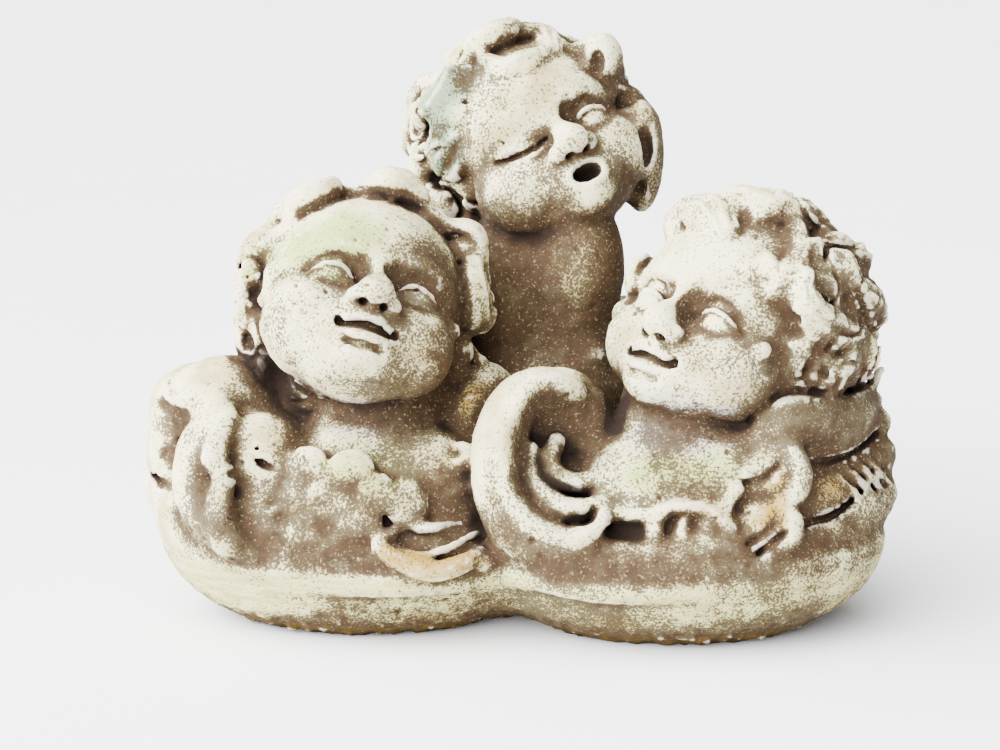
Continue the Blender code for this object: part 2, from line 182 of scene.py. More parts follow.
def turned(axis, angle):
    """Rotation matrix about one axis, by an angle in degrees."""
    c, s = math.cos(math.radians(angle)), math.sin(math.radians(angle))
    rows = {
        "x": ((1, 0, 0), (0, c, -s), (0, s, c)),
        "y": ((c, 0, s), (0, 1, 0), (-s, 0, c)),
        "z": ((c, -s, 0), (s, c, 0), (0, 0, 1)),
    }
    return np.array(rows[axis])


GROUP = Place()
HEADS = {
    "left": Place((-65, -38, 130), yaw=5.5, pitch=42.7, roll=17.6, unit=HEAD_UNIT),
    "right": Place((94, -44, 125), yaw=-45.6, pitch=24.8, roll=9.3, unit=HEAD_UNIT),
    "rear": Place((6, 38, 190), yaw=21.5, pitch=23.5, roll=-21.6, unit=HEAD_UNIT),
}


def smooth_path(points, count):
    """Places along the Catmull-Rom curve: a cubic for each pair of points, steered by their neighbours."""
    points = np.asarray(points, float)
    if len(points) == 2:
        share = np.linspace(0, 1, count)[:, None]
        return points[0] * (1 - share) + points[1] * share
    points = np.vstack([2 * points[0] - points[1], points, 2 * points[-1] - points[-2]])
    along = np.linspace(0, len(points) - 3 - 1e-9, count)
    first = along.astype(int)
    share = (along - first)[:, None]
    a, b, c, d = (points[first + step] for step in range(4))
    bend = 2 * a - 5 * b + 4 * c - d
    return 0.5 * (2 * b + (c - a) * share + bend * share**2 + (3 * b - a - 3 * c + d) * share**3)


def profile(values, count):
    """One value, or a few spread evenly along a strand, read at count places."""
    values = np.atleast_1d(values)
    return np.interp(np.linspace(0, 1, count), np.linspace(0, 1, len(values)), values)


def smooth_min(a, b, reach):
    """The lesser of two distances, rounded off by a parabola where they differ by less than reach."""
    if reach <= 0:
        return np.minimum(a, b)
    share = np.clip(0.5 + 0.5 * (b - a) / reach, 0, 1)
    return b + (a - b) * share - reach * share * (1 - share)


class Clay:
    """Distances to the surface on a grid of points, below zero inside."""

    def __init__(self, low, high, step):
        self.low = np.array(low, float)
        self.step = step
        self.count = np.ceil((np.array(high, float) - self.low) / step).astype(int) + 1
        self.values = np.full(self.count, FAR, np.float32)

    def lump(self, low, high):
        """An empty clay on part of this grid, for forms that are blended among themselves first."""
        first = np.clip(np.floor((np.array(low) - self.low) / self.step).astype(int), 0, self.count - 1)
        last = np.clip(np.ceil((np.array(high) - self.low) / self.step).astype(int), 1, self.count - 1)
        part = Clay(self.low + first * self.step, self.low + first * self.step, self.step)
        part.count = last - first + 1
        part.values = np.full(part.count, FAR, np.float32)
        part.start = first
        return part

    def join(self, part, blend):
        """Blends a clay on part of this grid into it."""
        block = tuple(slice(a, b) for a, b in zip(part.start, part.start + part.count))
        self.values[block] = smooth_min(self.values[block], part.values, blend)

    def block(self, low, high):
        """The grid points between two corners, as slices and as an array of places."""
        first = np.clip(np.floor((low - self.low) / self.step).astype(int), 0, self.count)
        last = np.clip(np.ceil((high - self.low) / self.step).astype(int) + 1, 0, self.count)
        axes = [(self.low[k] + self.step * np.arange(first[k],
                                                     last[k])).astype(np.float32) for k in range(3)]
        return tuple(slice(a, b) for a, b in zip(first, last)), np.stack(np.meshgrid(*axes, indexing="ij"),
                                                                         -1)

    def apply(self, block, distance, blend, cut):
        """Adds a form to the points of a block, or cuts it away there."""
        old = self.values[block]
        if cut:
            self.values[block] = -smooth_min(-old, distance, blend)
        else:
            self.values[block] = smooth_min(old, distance, blend)

    def ball(self, at, radii, place=GROUP, turn=(0, 0, 0), blend=0.0, cut=False, top=1.0):
        """An ellipsoid. top stretches its upper half.

        With q the place in radii and r the radii, the distance is |q| (|q| - 1) / |q / r|.
        """
        radii = np.array(radii if np.ndim(radii) else (radii,) * 3, float) * place.unit
        centre = place.point(at)
        axes = place.turn @ turned("z", turn[2]) @ turned("y", turn[1]) @ turned("x", turn[0])
        blend = blend * place.unit
        reach = np.sqrt(((axes * radii * max(1, top)) ** 2).sum(1)) + blend + 3 * self.step
        block, grid = self.block(centre - reach, centre + reach)
        if 0 in grid.shape:
            return
        q = (grid - centre.astype(np.float32)) @ axes.astype(np.float32)
        radii = np.broadcast_to(radii.astype(np.float32), q.shape)
        if top != 1.0:
            radii = radii.copy()
            radii[..., 2] = np.where(q[..., 2] > 0, radii[..., 2] * top, radii[..., 2])
        q = q / radii
        far = np.sqrt((q * q).sum(-1)) + 1e-6
        steep = np.sqrt(((q / radii) ** 2).sum(-1)) + 1e-9
        self.apply(block, far * (far - 1) / steep, blend, cut)

    def strand(self, path, width, depth=None, place=GROUP, centre=None, outward=None, blend=0.0, cut=False,
               grooves=0, groove_depth=0.0, hollow=0.0):
        """A tapering strand along a smooth path, with an ellipse for its section and round ends.

        width and depth are half sizes across and along the outward way. outward is one direction, or the way
        from centre. Each grid point takes the nearest spot of the path, and the ellipse's formula there, as
        for a ball. grooves cuts that many cosine furrows along the outer side, hollow dishes it.
        """
        unit = place.unit
        turning = place.point(np.asarray(path, float))
        length = np.linalg.norm(np.diff(turning, axis=0), axis=1).sum()
        count = int(np.clip(length / (SPOT_GAP * self.step), FEWEST_SPOTS, MOST_SPOTS))
        spots = smooth_path(turning, count)
        wide = profile(width, count) * unit
        deep = profile(width if depth is None else depth, count) * unit
        along = np.gradient(spots, axis=0)
        along /= np.linalg.norm(along, axis=1)[:, None] + 1e-9
        if outward is not None:
            out = np.broadcast_to(place.direction(outward), spots.shape)
        else:
            out = spots - place.point(centre if centre is not None else (0, 0, 0))
        out = out - (out * along).sum(1)[:, None] * along
        out /= np.linalg.norm(out, axis=1)[:, None] + 1e-9
        beside = np.cross(along, out)
        blend = blend * unit
        reach = max(wide.max(), deep.max()) + blend + 3 * self.step
        block, grid = self.block(spots.min(0) - reach, spots.max(0) + reach)
        if 0 in grid.shape:
            return
        points = grid.reshape(-1, 3)
        near = spots.astype(np.float32)
        half_gap = length / count * 0.75
        slope_wide = np.gradient(wide) * count / length
        slope_deep = np.gradient(deep) * count / length
        distance = np.empty(len(points), np.float32)
        for start in range(0, len(points), BATCH):
            some = points[start:start + BATCH]
            squares = (some * some).sum(1)[:, None] - 2 * some @ near.T + (near * near).sum(1)[None]
            i = squares.argmin(1)
            offset = some - near[i]
            ahead = (offset * along[i]).sum(1)
            u = (offset * beside[i]).sum(1)
            v = (offset * out[i]).sum(1)
            past = np.where((i == 0) | (i == count - 1), np.clip(np.abs(ahead) - half_gap, 0, None), 0)
            within = np.clip(ahead, -half_gap, half_gap)
            w = np.maximum(wide[i] + slope_wide[i] * within, THINNEST)
            h = np.maximum(deep[i] + slope_deep[i] * within, THINNEST)
            if grooves:
                furrow = 0.5 - 0.5 * np.cos(2 * np.pi * grooves * (0.5 * u / w + 0.5))
                v = v + groove_depth * unit * furrow * (v > -h)
            if hollow:
                v = v + hollow * unit * np.clip(1 - (u / w) ** 2, 0, 1)
            least = np.minimum(w, h)
            far = np.sqrt((u / w) ** 2 + (v / h) ** 2 + (past / least) ** 2) + 1e-6
            steep = np.sqrt((u / w**2) ** 2 + (v / h**2) ** 2 + (past / least**2) ** 2) + 1e-9
            distance[start:start + BATCH] = far * (far - 1) / steep
        self.apply(block, distance.reshape(grid.shape[:3]), blend, cut)

    def ridge(self, path, width, depth=None, blend=0.0):
        """A strand whose depth points forward."""
        self.strand(path, width, depth, outward=FORWARD, blend=blend)

    def slit(self, path, width, depth=None, blend=0.0):
        """A furrow that is cut from the front."""
        self.strand(path, width, depth, outward=FORWARD, blend=blend, cut=True)

    def skin(self):
        """Corners and outward quads of the zero surface."""
        grid = openvdb.FloatGrid(FAR)
        grid.copyFromArray(self.values)
        points, quads = grid.convertToQuads(isovalue=0.0)
        return points * self.step + self.low, quads


def base(clay):
    """Three shallow bowls and the mass between them, with a rounded rim round the front."""
    for centre, half_sizes in (((-62, -46), (88, 56)), ((66, -58), (88, 58)), ((0, 40), (80, 60))):
        clay.ball((*centre, 38), (*half_sizes, 48), blend=12, top=0.2)
    clay.ball((0, -10, 36), (96, 62, 44), blend=12, top=0.4)
    left_rim = [(-156, -30, 58), (-154, -42, 51), (-141, -64, 45), (-128, -78, 42), (-109, -92, 38),
                (-75, -101, 30),
                (-46, -103, 28), (-19, -92, 29), (-11, -80, 30)]
    right_rim = [(-11, -80, 30), (2, -98, 31), (17, -110, 30), (41, -115, 29), (68, -116, 32),
                 (81, -114, 35),
                 (104, -106, 37), (121, -94, 38), (139, -74, 41), (153, -50, 49), (157, -30, 58)]
    for rim in (left_rim, right_rim):
        clay.strand(rim, (3, 4, 4, 4, 3), (1.5, 2, 2, 2, 1.5), outward=(0, -1, 0), blend=8)
    # The smooth band over the rim, which the scroll, the lumps and the leaves grow out of.
    band = [(18, -98, 37), (44, -103, 38), (75, -104, 40), (104, -96, 43), (128, -76, 47), (148, -48, 55)]
    clay.ridge(band, (8, 9, 9, 9, 8, 6), (9, 10, 10, 9, 9, 7), blend=6)
    band = [(-142, -44, 58), (-134, -62, 50), (-112, -80, 42), (-80, -89, 37), (-46, -90, 33)]
    clay.ridge(band, (7, 9, 9, 8, 7), (8, 10, 10, 9, 8), blend=6)


# Scales and leaf tips on the left chest: place, width, height and turn to the side in degrees.
SCALES = (
    (-100, -80, 70, 8, 8, -20), (-84, -86, 72, 9, 8, -15), (-66, -90, 73, 9, 7, -5),
    (-93, -87, 60, 9, 8, -20),
    (-75, -92, 62, 10, 8, -10), (-57, -93, 64, 9, 7, 0), (-83, -92, 52, 9, 8, -10),
    (-64, -95, 54, 10, 8, 0),
    (-44, -92, 60, 9, 8, 15), (-102, -91, 48, 6, 7, -25), (-91, -94, 45, 6, 7, -15),
    (-80, -96, 43, 6, 7, 0),
    (-70, -97, 43, 6, 6, 10),
)
# What a scale's width and height are multiplied by for its radii, its half depth, tilt back and sinking.
SCALE_SPREAD = (1.12, 1.25)
SCALE_DEPTH = 4
SCALE_TILT = -18
SCALE_SUNK = 1.2


def left_cherub(clay):
    """Neck, chest and wing of the left cherub, the scales on its chest and the shell scroll at its foot."""
    ball, ridge, slit, strand = clay.ball, clay.ridge, clay.slit, clay.strand
    ridge([(-61, -30, 132), (-59, -38, 90), (-55, -42, 61)], (30, 31, 38), blend=6)
    ball((-50, -58, 60), (40, 32, 26), blend=8)
    ball((-32, -68, 62), (17, 18, 20), blend=6)
    ball((-68, -66, 67), (22, 18, 20), blend=8)
    ridge([(-71, -52, 71), (-90, -50, 73), (-106, -50, 81), (-119, -48, 92)], (17, 14, 15, 18), blend=6)
    ball((-124, -50, 95), (19, 20, 15), blend=4)
    ball((-134, -38, 88), (20, 22, 17), blend=5)
    flank = [(-134, -36, 84), (-136, -42, 69), (-127, -55, 51), (-110, -72, 39), (-84, -84, 32)]
    ridge(flank, (17, 20, 21, 17, 9), blend=8)
    ball((-76, -76, 42), (38, 22, 15), blend=6)
    ball((-95, -66, 56), (26, 20, 24), blend=6)
    slit([(-104, -56, 112), (-99, -62, 104), (-95, -66, 97)], (5, 6, 5), 11, blend=3)
    # Ridge under the smooth shoulder of the wing, and the gaps between its long feathers.
    ridge([(-146, -50, 101), (-143, -58, 95), (-133, -68, 94), (-124, -72, 89), (-118, -76, 88)],
          (1.6, 2, 2, 2, 1.4), blend=2)
    for gap, deep in (([(-147, -52, 92), (-141, -63, 90), (-131, -72, 87), (-124, -77, 84)], 1.8),
                      ([(-146, -60, 72), (-141, -68, 72), (-136, -74, 77), (-131, -76, 82)], 2.2),
                      ([(-151, -48, 62), (-146, -62, 60), (-138, -74, 63), (-130, -82, 66)], 1.8)):
        slit(gap, 1.6, deep, blend=2.5)
    # The lit inner side of the wing, then the folded front edge in two lobes on the mass that carries it.
    ball((-104, -70, 70), (20, 17, 22), blend=7)
    ball((-98, -76, 52), (22, 16, 14), blend=6)
    ridge([(-122, -68, 90), (-128, -74, 78), (-129, -78, 64), (-124, -82, 52), (-113, -86, 43)],
          (8, 10, 11, 10, 8), (10, 11, 11, 11, 9), blend=5)
    ridge([(-117, -76, 90), (-120, -84, 83), (-121, -88, 77), (-117, -89, 71)], (4, 5.5, 5.5, 4),
          (4, 6, 6, 4), blend=4)
    ridge([(-117, -90, 70), (-119, -91, 61), (-119, -93, 52), (-114, -95, 44), (-107, -95, 40)],
          (4, 6, 7, 7, 4), (4, 6, 7, 7, 4), blend=4)
    for slot in ([(-108, -80, 80), (-101, -82, 78)], [(-106, -82, 76), (-98, -86, 72)],
                 [(-115, -92, 72), (-110, -91, 71)],
                 [(-108, -94, 59), (-102, -93, 59), (-95, -90, 61)],
                 [(-108, -94, 55), (-100, -94, 53), (-91, -91, 56)],
                 [(-104, -96, 50), (-98, -94, 50)], [(-94, -96, 45), (-91, -94, 51)]):
        slit(slot, (0.7, 1.4, 0.7), 3.2, blend=1)
    # Two hollows over the scales, then the scales.
    for at, size in (((-89, -85, 83), (6, 5, 3.5)), ((-72, -91, 84), (5, 4, 3))):
        ball(at, size, blend=4, cut=True)
    for x, y, z, wide, high, lean in SCALES:
        radii = (SCALE_SPREAD[0] * wide, SCALE_DEPTH, SCALE_SPREAD[1] * high)
        ball((x, y + SCALE_SUNK, z), radii, turn=(SCALE_TILT, 0, lean), blend=0.8)
    # Shell scroll.
    ball((-35, -78, 42), (22, 16, 14), blend=5)
    shell = [(-50, -94, 48), (-55, -98, 45), (-51, -101, 41), (-42, -103, 37), (-32, -104, 35),
             (-22, -101, 37), (-15, -96, 40)]
    ridge(shell, (3, 4, 4.2, 4.6, 4.6, 4.2, 3), blend=2)
    ridge([(-51, -94, 44), (-45, -99, 42), (-35, -100, 41), (-25, -98, 44), (-16, -90, 47)],
          (1.4, 2, 2, 2, 1.4), blend=1.2)
    ridge([(-47, -92, 50), (-35, -94, 50), (-24, -88, 50)], (2, 2.8, 2), blend=1.5)
    ridge([(-16, -94, 38), (-13, -95, 36), (-7, -90, 40)], (3.4, 4.2, 3.4), blend=2)
    # Small scroll beside the chest.
    scroll = [(-41, -72, 68), (-33, -78, 67), (-26, -80, 69), (-20, -79, 74), (-21, -76, 79),
              (-24, -73, 79)]
    strand(scroll, (3, 3.4, 3.4, 3, 2.4, 1.5), (6, 6, 6, 5, 3, 2), outward=(0, -0.4, 1), blend=1.6)
    ridge([(-37, -78, 63), (-31, -82, 62), (-23, -82, 63), (-14, -76, 64)], (2.4, 3, 3, 2.4), blend=1.6)
    ball((-22, -66, 54), (15, 16, 13), blend=5)
    # Inner wing, which ends in a smooth bulb behind the great scroll.
    ridge([(-26, -45, 57), (-21, -42, 78), (-13, -36, 92)], (15, 17, 14), (16, 15, 13), blend=6)
    ridge([(-12, -36, 97), (-18, -46, 90), (-21, -52, 81), (-19, -62, 70)], (6, 8, 8, 6), blend=3)


def great_scroll(clay):
    """The curled wing that the two front cherubs share: a broad tongue, a lip that turns in and two ribs."""
    ball, ridge, slit = clay.ball, clay.ridge, clay.slit
    ball((12, -56, 80), (20, 18, 26), blend=6, turn=(0, 15, 0))
    ball((12, -66, 54), (26, 22, 22), blend=6)
    tongue = [(12, -66, 101), (18, -62, 97), (25, -60, 90), (30, -62, 80)]
    ridge(tongue, (9, 13, 14, 12), (8, 11, 12, 10), blend=5)
    cup = [(12, -66, 100), (2, -70, 98), (-4, -76, 88), (-6, -82, 76), (-5, -88, 63), (2, -93, 50),
           (16, -96, 42), (34, -96, 39)]
    ridge(cup, (7, 9, 10, 11, 12, 12, 11, 9), (8, 10, 12, 13, 13, 13, 12, 9), blend=5)
    wall = [(18, -70, 101), (6, -73, 102), (-3, -78, 96), (-8, -84, 87), (-9, -89, 77), (-7, -94, 65),
            (-1, -98, 54),
            (10, -101, 46), (24, -102, 43), (36, -101, 42)]
    ridge(wall, (6, 8, 8, 8, 8, 8, 9, 9, 9, 8), (7, 9, 9, 9, 9, 9, 9, 9, 9, 8), blend=6)
    # The hollow inside the cup, then two ribs in it.
    hollow = [(9, -92, 80), (9, -95, 72), (15, -100, 64), (24, -102, 59), (31, -100, 60)]
    slit(hollow, (5, 8.5, 9, 8, 5), (9, 12, 13, 12, 8), blend=3)
    ridge([(16, -78, 81), (13, -82, 74), (17, -86, 69), (25, -88, 67), (35, -86, 68)], (4, 5, 5, 4.4, 3),
          (5, 6, 6, 6, 4), blend=2)
    ridge([(6, -84, 79), (6, -89, 70), (11, -94, 63), (19, -97, 59), (28, -97, 59), (33, -94, 61)],
          (3.6, 5, 5.4, 5.4, 4.6, 3), (5, 6, 7, 7, 6, 4), blend=2)
    lip = [(24, -72, 101), (18, -77, 105), (8, -80, 106), (1, -84, 100), (-4, -89, 90), (-5, -94, 78),
           (-3, -99, 67),
           (3, -103, 58), (11, -106, 52), (20, -107, 49), (29, -106, 51), (34, -103, 55), (34, -99, 59)]
    ridge(lip, (4, 5, 5, 4.4, 4, 4, 4.2, 4.6, 4.8, 4.6, 4, 3), (4, 5, 6, 6, 6, 7, 7, 7, 7, 7, 6, 4),
          blend=5)
    slit([(23, -104, 56), (28, -104, 56), (31, -101, 59)], (1.4, 2, 1.4), 4, blend=1.5)


def right_cherub(clay):
    """Neck and chest of the right cherub, the hem, lumps and leaves at its foot and its outer wing."""
    ball, ridge, slit = clay.ball, clay.ridge, clay.slit
    ridge([(88, -40, 121), (73, -52, 87), (73, -56, 64)], (30, 30, 38), blend=6)
    ball((66, -69, 62), (42, 30, 23), blend=8)
    ball((50, -80, 66), (20, 17, 15), blend=8)
    ball((84, -78, 70), (20, 19, 17), blend=8)
    ball((75, -80, 44), (46, 24, 16), blend=6)
    ball((45, -101, 37), (14, 11, 8.5), blend=2.5)
    ball((76, -101, 43), (17, 11, 9), blend=3)
    slit([(38, -104, 51), (46, -106, 51), (56, -107, 51)], (2.4, 3, 2.4), 7, blend=2)
    for x, lean in ((83, 1), (75, 0), (67, -1), (57, -2)):
        ridge([(x, -101, 45), (x + lean, -102, 50), (x, -98, 55)], (4.6, 4.4, 3), (4, 5, 4), blend=1.6)
    hem = [(35, -95, 58), (42, -98, 57), (49, -100, 57), (55, -101, 58), (63, -101, 61), (70, -102, 61),
           (76, -102, 60),
           (81, -103, 57), (84, -102, 54)]
    ridge(hem, 2.8, 4, blend=5)
    ridge([(84, -101, 62), (91, -98, 72), (100, -91, 81)], 2.4, blend=5)
    # Leaves.
    ball((101, -84, 63), (16, 12, 18), blend=4)
    ball((101, -89, 71), (12, 9, 12), blend=3)
    ball((98, -96, 51), (12, 9, 12), blend=3)
    ball((104, -91, 72), (9, 8, 11), blend=3)
    ball((100, -99, 51), (9, 7, 9), blend=3)
    ridge([(104, -88, 82), (110, -92, 80), (113, -94, 72), (111, -97, 65), (104, -98, 61)],
          (3, 5, 5.4, 5, 3), (3, 6, 7, 6, 4), blend=2)
    ridge([(106, -98, 60), (109, -100, 55), (108, -102, 48), (101, -103, 42), (92, -102, 39)],
          (3.4, 5.4, 6, 5.4, 3.4), (4, 6, 7, 6, 4), blend=2)
    for fold in ([(91, -98, 70), (98, -99, 71), (104, -98, 77)],
                 [(92, -106, 47), (99, -107, 52), (104, -106, 57)],
                 [(96, -102, 63), (102, -104, 65), (107, -102, 69)],
                 [(95, -107, 43), (101, -107, 47), (106, -106, 51)]):
        slit(fold, 1.0, 3.4, blend=1)
    # Outer wing: a crest that rises to a tip, two bands of feathers and the rim band.
    ridge([(98, -80, 82), (108, -82, 91), (122, -74, 89), (138, -58, 87), (151, -38, 90)],
          (9, 11, 10, 9, 4), (10, 10, 10, 9, 4), blend=6)
    ball((122, -56, 80), (22, 20, 18), blend=6, turn=(0, 0, 35))
    ridge([(96, -86, 84), (99, -87, 94), (108, -87, 100), (121, -79, 98), (135, -65, 95), (147, -46, 96),
           (155, -30, 101)], (2, 3, 3, 3, 3, 3, 2.2), blend=3)
    ridge([(117, -66, 71), (133, -56, 73), (151, -38, 79)], (12, 11, 7), (12, 12, 9), blend=5)
    ridge([(116, -78, 55), (134, -66, 60), (151, -46, 68)], (14, 13, 9), (10, 10, 9), blend=3)
    ridge([(111, -86, 41), (131, -72, 44), (150, -50, 52)], (10, 12, 9), (12, 14, 12), blend=6)
    slit([(115, -80, 72), (131, -71, 73), (141, -62, 75), (150, -49, 78)], 1.3, 2.6, blend=1.8)
    for k in range(6):
        start = np.array((122 + 5.2 * k, -86 + 5.6 * k, 69.5))
        slit([start, start + (11, 5, -13)], (0.5, 1.0, 0.5), 1.5, blend=0.8)
    slit([(112, -94, 51), (129, -82, 52), (147, -60, 60)], 1.4, 2, blend=2.5)


# Long feathers of a rear wing, and its rows of short ones: height, how far back and how far out the first is.
REAR_FEATHERS = 8
REAR_COVERTS = ((92, 79, 16), (104, 73, 24))


def rear_cherub(clay):
    """Neck and back of the rear cherub, with a wing of long and short feathers on each side."""
    ball, strand = clay.ball, clay.strand
    strand([(14, 30, 162), (16, 22, 122), (16, 15, 87)], (27, 26, 40), outward=(0, -1, 0), blend=6)
    ball((4, 25, 72), (60, 42, 40), blend=10)
    ball((27, 4, 140), (21, 20, 34), blend=12)
    ball((-8, 6, 128), (22, 20, 34), blend=12)
    strand([(20, -5, 83), (26, -8, 96), (33, -10, 102)], (10, 9, 7), outward=(0, -1, 0), blend=3)
    for side in (-1, 1):
        arm = [(side * 14, 44, 86), (side * 42, 58, 103), (side * 68, 56, 103), (side * 92, 42, 90)]
        strand(arm, (12, 14, 12, 6), (11, 12, 11, 7), outward=BACKWARD, blend=5)
        ball((side * 50, 64, 74), (38, 12, 26), blend=6, turn=(0, 0, -side * 18))
        for k in range(REAR_FEATHERS):
            near, tip = 12 + 9.5 * k, 16 + 11.5 * k
            quill = [(side * near, 74 - 2.2 * k, 92 + 0.8 * k),
                     (side * (near + tip + 8) / 2, 83 - 4 * k, 70),
                     (side * tip, 81 - 4.6 * k, 44 + 2.2 * k)]
            strand(quill, (6, 7.5, 6, 1.5), (5, 6, 5, 2), outward=BACKWARD, blend=1.2)
            shaft = [(x, y + 5, z) for x, y, z in quill]
            strand(shaft, (0.8, 1.2, 0.6), 1.6, outward=BACKWARD, blend=1.2)
        for row, (height, out, first) in enumerate(REAR_COVERTS):
            for k in range(6 - row):
                at = (side * (first + 13 * k), out - (2.2 + 0.9 * k) * k, height - 1.2 * k)
                ball(at, (8, 5, 11), blend=1, turn=(14, 0, -side * 10))


def face(clay, place):
    """A plump child's face: skull, forehead, cheeks, jaw, chin, nose and brows."""
    ball, strand = clay.ball, clay.strand
    ball(SKULL, SKULL_RADII, place)
    ball((0, -0.34, 0.14), (0.78, 0.58, 0.6), place, blend=0.2)
    ball((0, -0.2, -0.44), (0.78, 0.68, 0.54), place, blend=0.15)
    ball((0, -0.34, -0.78), (0.56, 0.54, 0.3), place, blend=0.15)
    for side in (-1, 1):
        ball((side * 0.45, -0.57, -0.6), (0.34, 0.34, 0.32), place, blend=0.25)
        ball((side * 0.56, -0.34, -0.58), (0.28, 0.4, 0.34), place, blend=0.25)
    ball((0, -0.52, -1.0), (0.38, 0.36, 0.17), place, blend=0.2)
    ball((0, -0.84, -1.0), (0.19, 0.15, 0.13), place, blend=0.16)
    ball((0, -0.78, -0.76), (0.3, 0.23, 0.22), place, blend=0.22)
    strand([(0, -0.84, -0.02), (0, -0.92, -0.24), (0, -1.03, -0.42)], (0.12, 0.11, 0.15), place=place,
           blend=0.1)
    ball((0, -1.07, -0.49), (0.17, 0.14, 0.145), place, blend=0.06)
    for side in (-1, 1):
        ball((side * 0.165, -0.99, -0.53), (0.1, 0.11, 0.1), place, blend=0.05)
        brow = [(side * 0.1, -0.83, -0.08), (side * 0.3, -0.86, 0.0), (side * 0.54, -0.75, -0.01),
                (side * 0.68, -0.58, -0.1)]
        strand(brow, (0.05, 0.075, 0.075, 0.04), place=place, blend=0.2)
    strand([(0, -1.06, -0.63), (0, -1.07, -0.7)], (0.025, 0.03), place=place, blend=0.04, cut=True)


def nostrils(clay, place):
    """Two holes under the nose, cut once the face has melted together."""
    for side in (-1, 1):
        clay.strand([(side * 0.085, -1.1, -0.64), (side * 0.09, -1.0, -0.55)], (0.05, 0.03), place=place,
                    blend=0.02, cut=True)


# Lids of the eye on the viewer's right, on a head.
UPPER_LID = ((0.17, -0.83, -0.29), (0.27, -0.875, -0.215), (0.39, -0.89, -0.19), (0.52, -0.84, -0.215),
             (0.62, -0.73, -0.29))
LOWER_LID = ((0.17, -0.83, -0.3), (0.29, -0.855, -0.345), (0.42, -0.855, -0.355), (0.54, -0.8, -0.335),
             (0.62, -0.73, -0.3))


def lid(side, points):
    """The lid's places on one side: 1 is the viewer's right."""
    return [(side * x, y, z) for x, y, z in points]


def open_eye(clay, place, side):
    """A bulging eyeball between a heavy upper lid and a thin lower one."""
    ball, strand = clay.ball, clay.strand
    ball((side * 0.37, -0.96, -0.24), (0.26, 0.1, 0.16), place, blend=0.1, cut=True)
    ball((side * 0.17, -0.98, -0.2), (0.07, 0.12, 0.12), place, blend=0.1, cut=True)
    ball((side * 0.385, -0.69, -0.26), (0.225, 0.2, 0.16), place, blend=0.02)
    upper = lid(side, UPPER_LID)
    strand(upper, (0.02, 0.03, 0.033, 0.027, 0.014), place=place, blend=0.02)
    strand(lid(side, LOWER_LID), (0.014, 0.022, 0.024, 0.02, 0.012), place=place, blend=0.03)
    crease = [(x, y - 0.01, z + 0.04 + 0.06 * math.sin(math.pi * k / 4)) for k,
              (x, y, z) in enumerate(upper)]
    strand(crease, (0.01, 0.018, 0.02, 0.012), (0.02, 0.04, 0.04, 0.02), place=place, blend=0.04, cut=True)
    ball((side * 0.14, -0.87, -0.29), (0.03, 0.05, 0.03), place, blend=0.03, cut=True)


def closed_eye(clay, place, side):
    """A shut eye: the full ball of the upper lid and one fold under it."""
    ball, strand = clay.ball, clay.strand
    ball((side * 0.385, -0.68, -0.25), (0.24, 0.21, 0.18), place, blend=0.04)
    fold = [(side * 0.16, -0.87, -0.3), (side * 0.28, -0.9, -0.345), (side * 0.41, -0.9, -0.355),
            (side * 0.54, -0.83, -0.33), (side * 0.64, -0.72, -0.27)]
    strand(fold, (0.014, 0.024, 0.026, 0.014), (0.05, 0.08, 0.08, 0.05), place=place, blend=0.02, cut=True)
    lower = [(x, y + 0.01, z - 0.045) for x, y, z in fold]
    strand(lower, (0.016, 0.03, 0.03, 0.016), place=place, blend=0.03)


def parted_lips(clay, place):
    """Two full lips, slightly parted, with deep corners."""
    ball, strand = clay.ball, clay.strand
    for side in (-1, 1):
        strand([(0, -1.0, -0.735), (side * 0.07, -1.01, -0.71), (side * 0.14, -0.97, -0.735),
                (side * 0.2, -0.9, -0.775)],
               (0.04, 0.046, 0.038, 0.018), place=place, blend=0.08)
    lower = [(-0.13, -0.93, -0.87), (-0.06, -0.99, -0.895), (0, -1.0, -0.9), (0.06, -0.99, -0.895),
             (0.13, -0.93, -0.87)]
    strand(lower, (0.025, 0.05, 0.058, 0.05, 0.025), place=place, blend=0.09)
    slit = [(-0.22, -0.9, -0.775), (-0.11, -1.0, -0.805), (0, -1.04, -0.815), (0.11, -1.0, -0.805),
            (0.22, -0.9, -0.775)]
    strand(slit, (0.014, 0.03, 0.038, 0.03, 0.014), (0.05, 0.1, 0.12, 0.1, 0.05), place=place, blend=0.03,
           cut=True)
    strand([(-0.12, -0.95, -0.96), (0, -0.98, -0.97), (0.12, -0.95, -0.96)], (0.02, 0.03, 0.02),
           place=place, blend=0.09,
           cut=True)
    for side in (-1, 1):
        ball((side * 0.255, -0.9, -0.765), (0.035, 0.06, 0.04), place, blend=0.04, cut=True)


def singing_mouth(clay, place):
    """Round lips about a dark open mouth, the lower one fuller."""
    ring = [(0.17 * math.sin(a), -0.97, -0.81 + 0.12 * math.cos(a)) for a in np.linspace(0, 2 * math.pi,
                                                                                         13)]
    clay.strand(ring, 0.05, place=place, blend=0.05, outward=(0, -1, 0))
    clay.strand([(-0.12, -0.98, -0.88), (0, -1.01, -0.91), (0.12, -0.98, -0.88)], (0.03, 0.055, 0.03),
                place=place, blend=0.03)
    clay.ball((0, -1.02, -0.8), (0.145, 0.26, 0.085), place, blend=0.03, cut=True)


def on_skull(route):
    """Places over the skull from azimuth, elevation in degrees and lift.

    The azimuth turns from the face to the viewer's right. A lift of 1 is as far as the skull's own radius.
    """
    azimuth, elevation, lift = np.array(route, float).T
    azimuth, elevation = np.radians(azimuth), np.radians(elevation)
    ways = np.stack([np.sin(azimuth) * np.cos(elevation), -np.cos(azimuth) * np.cos(elevation),
                     np.sin(elevation)], 1)
    return SKULL + SKULL_RADII * ways * (1 + ROUTE_LIFT + lift)[:, None]


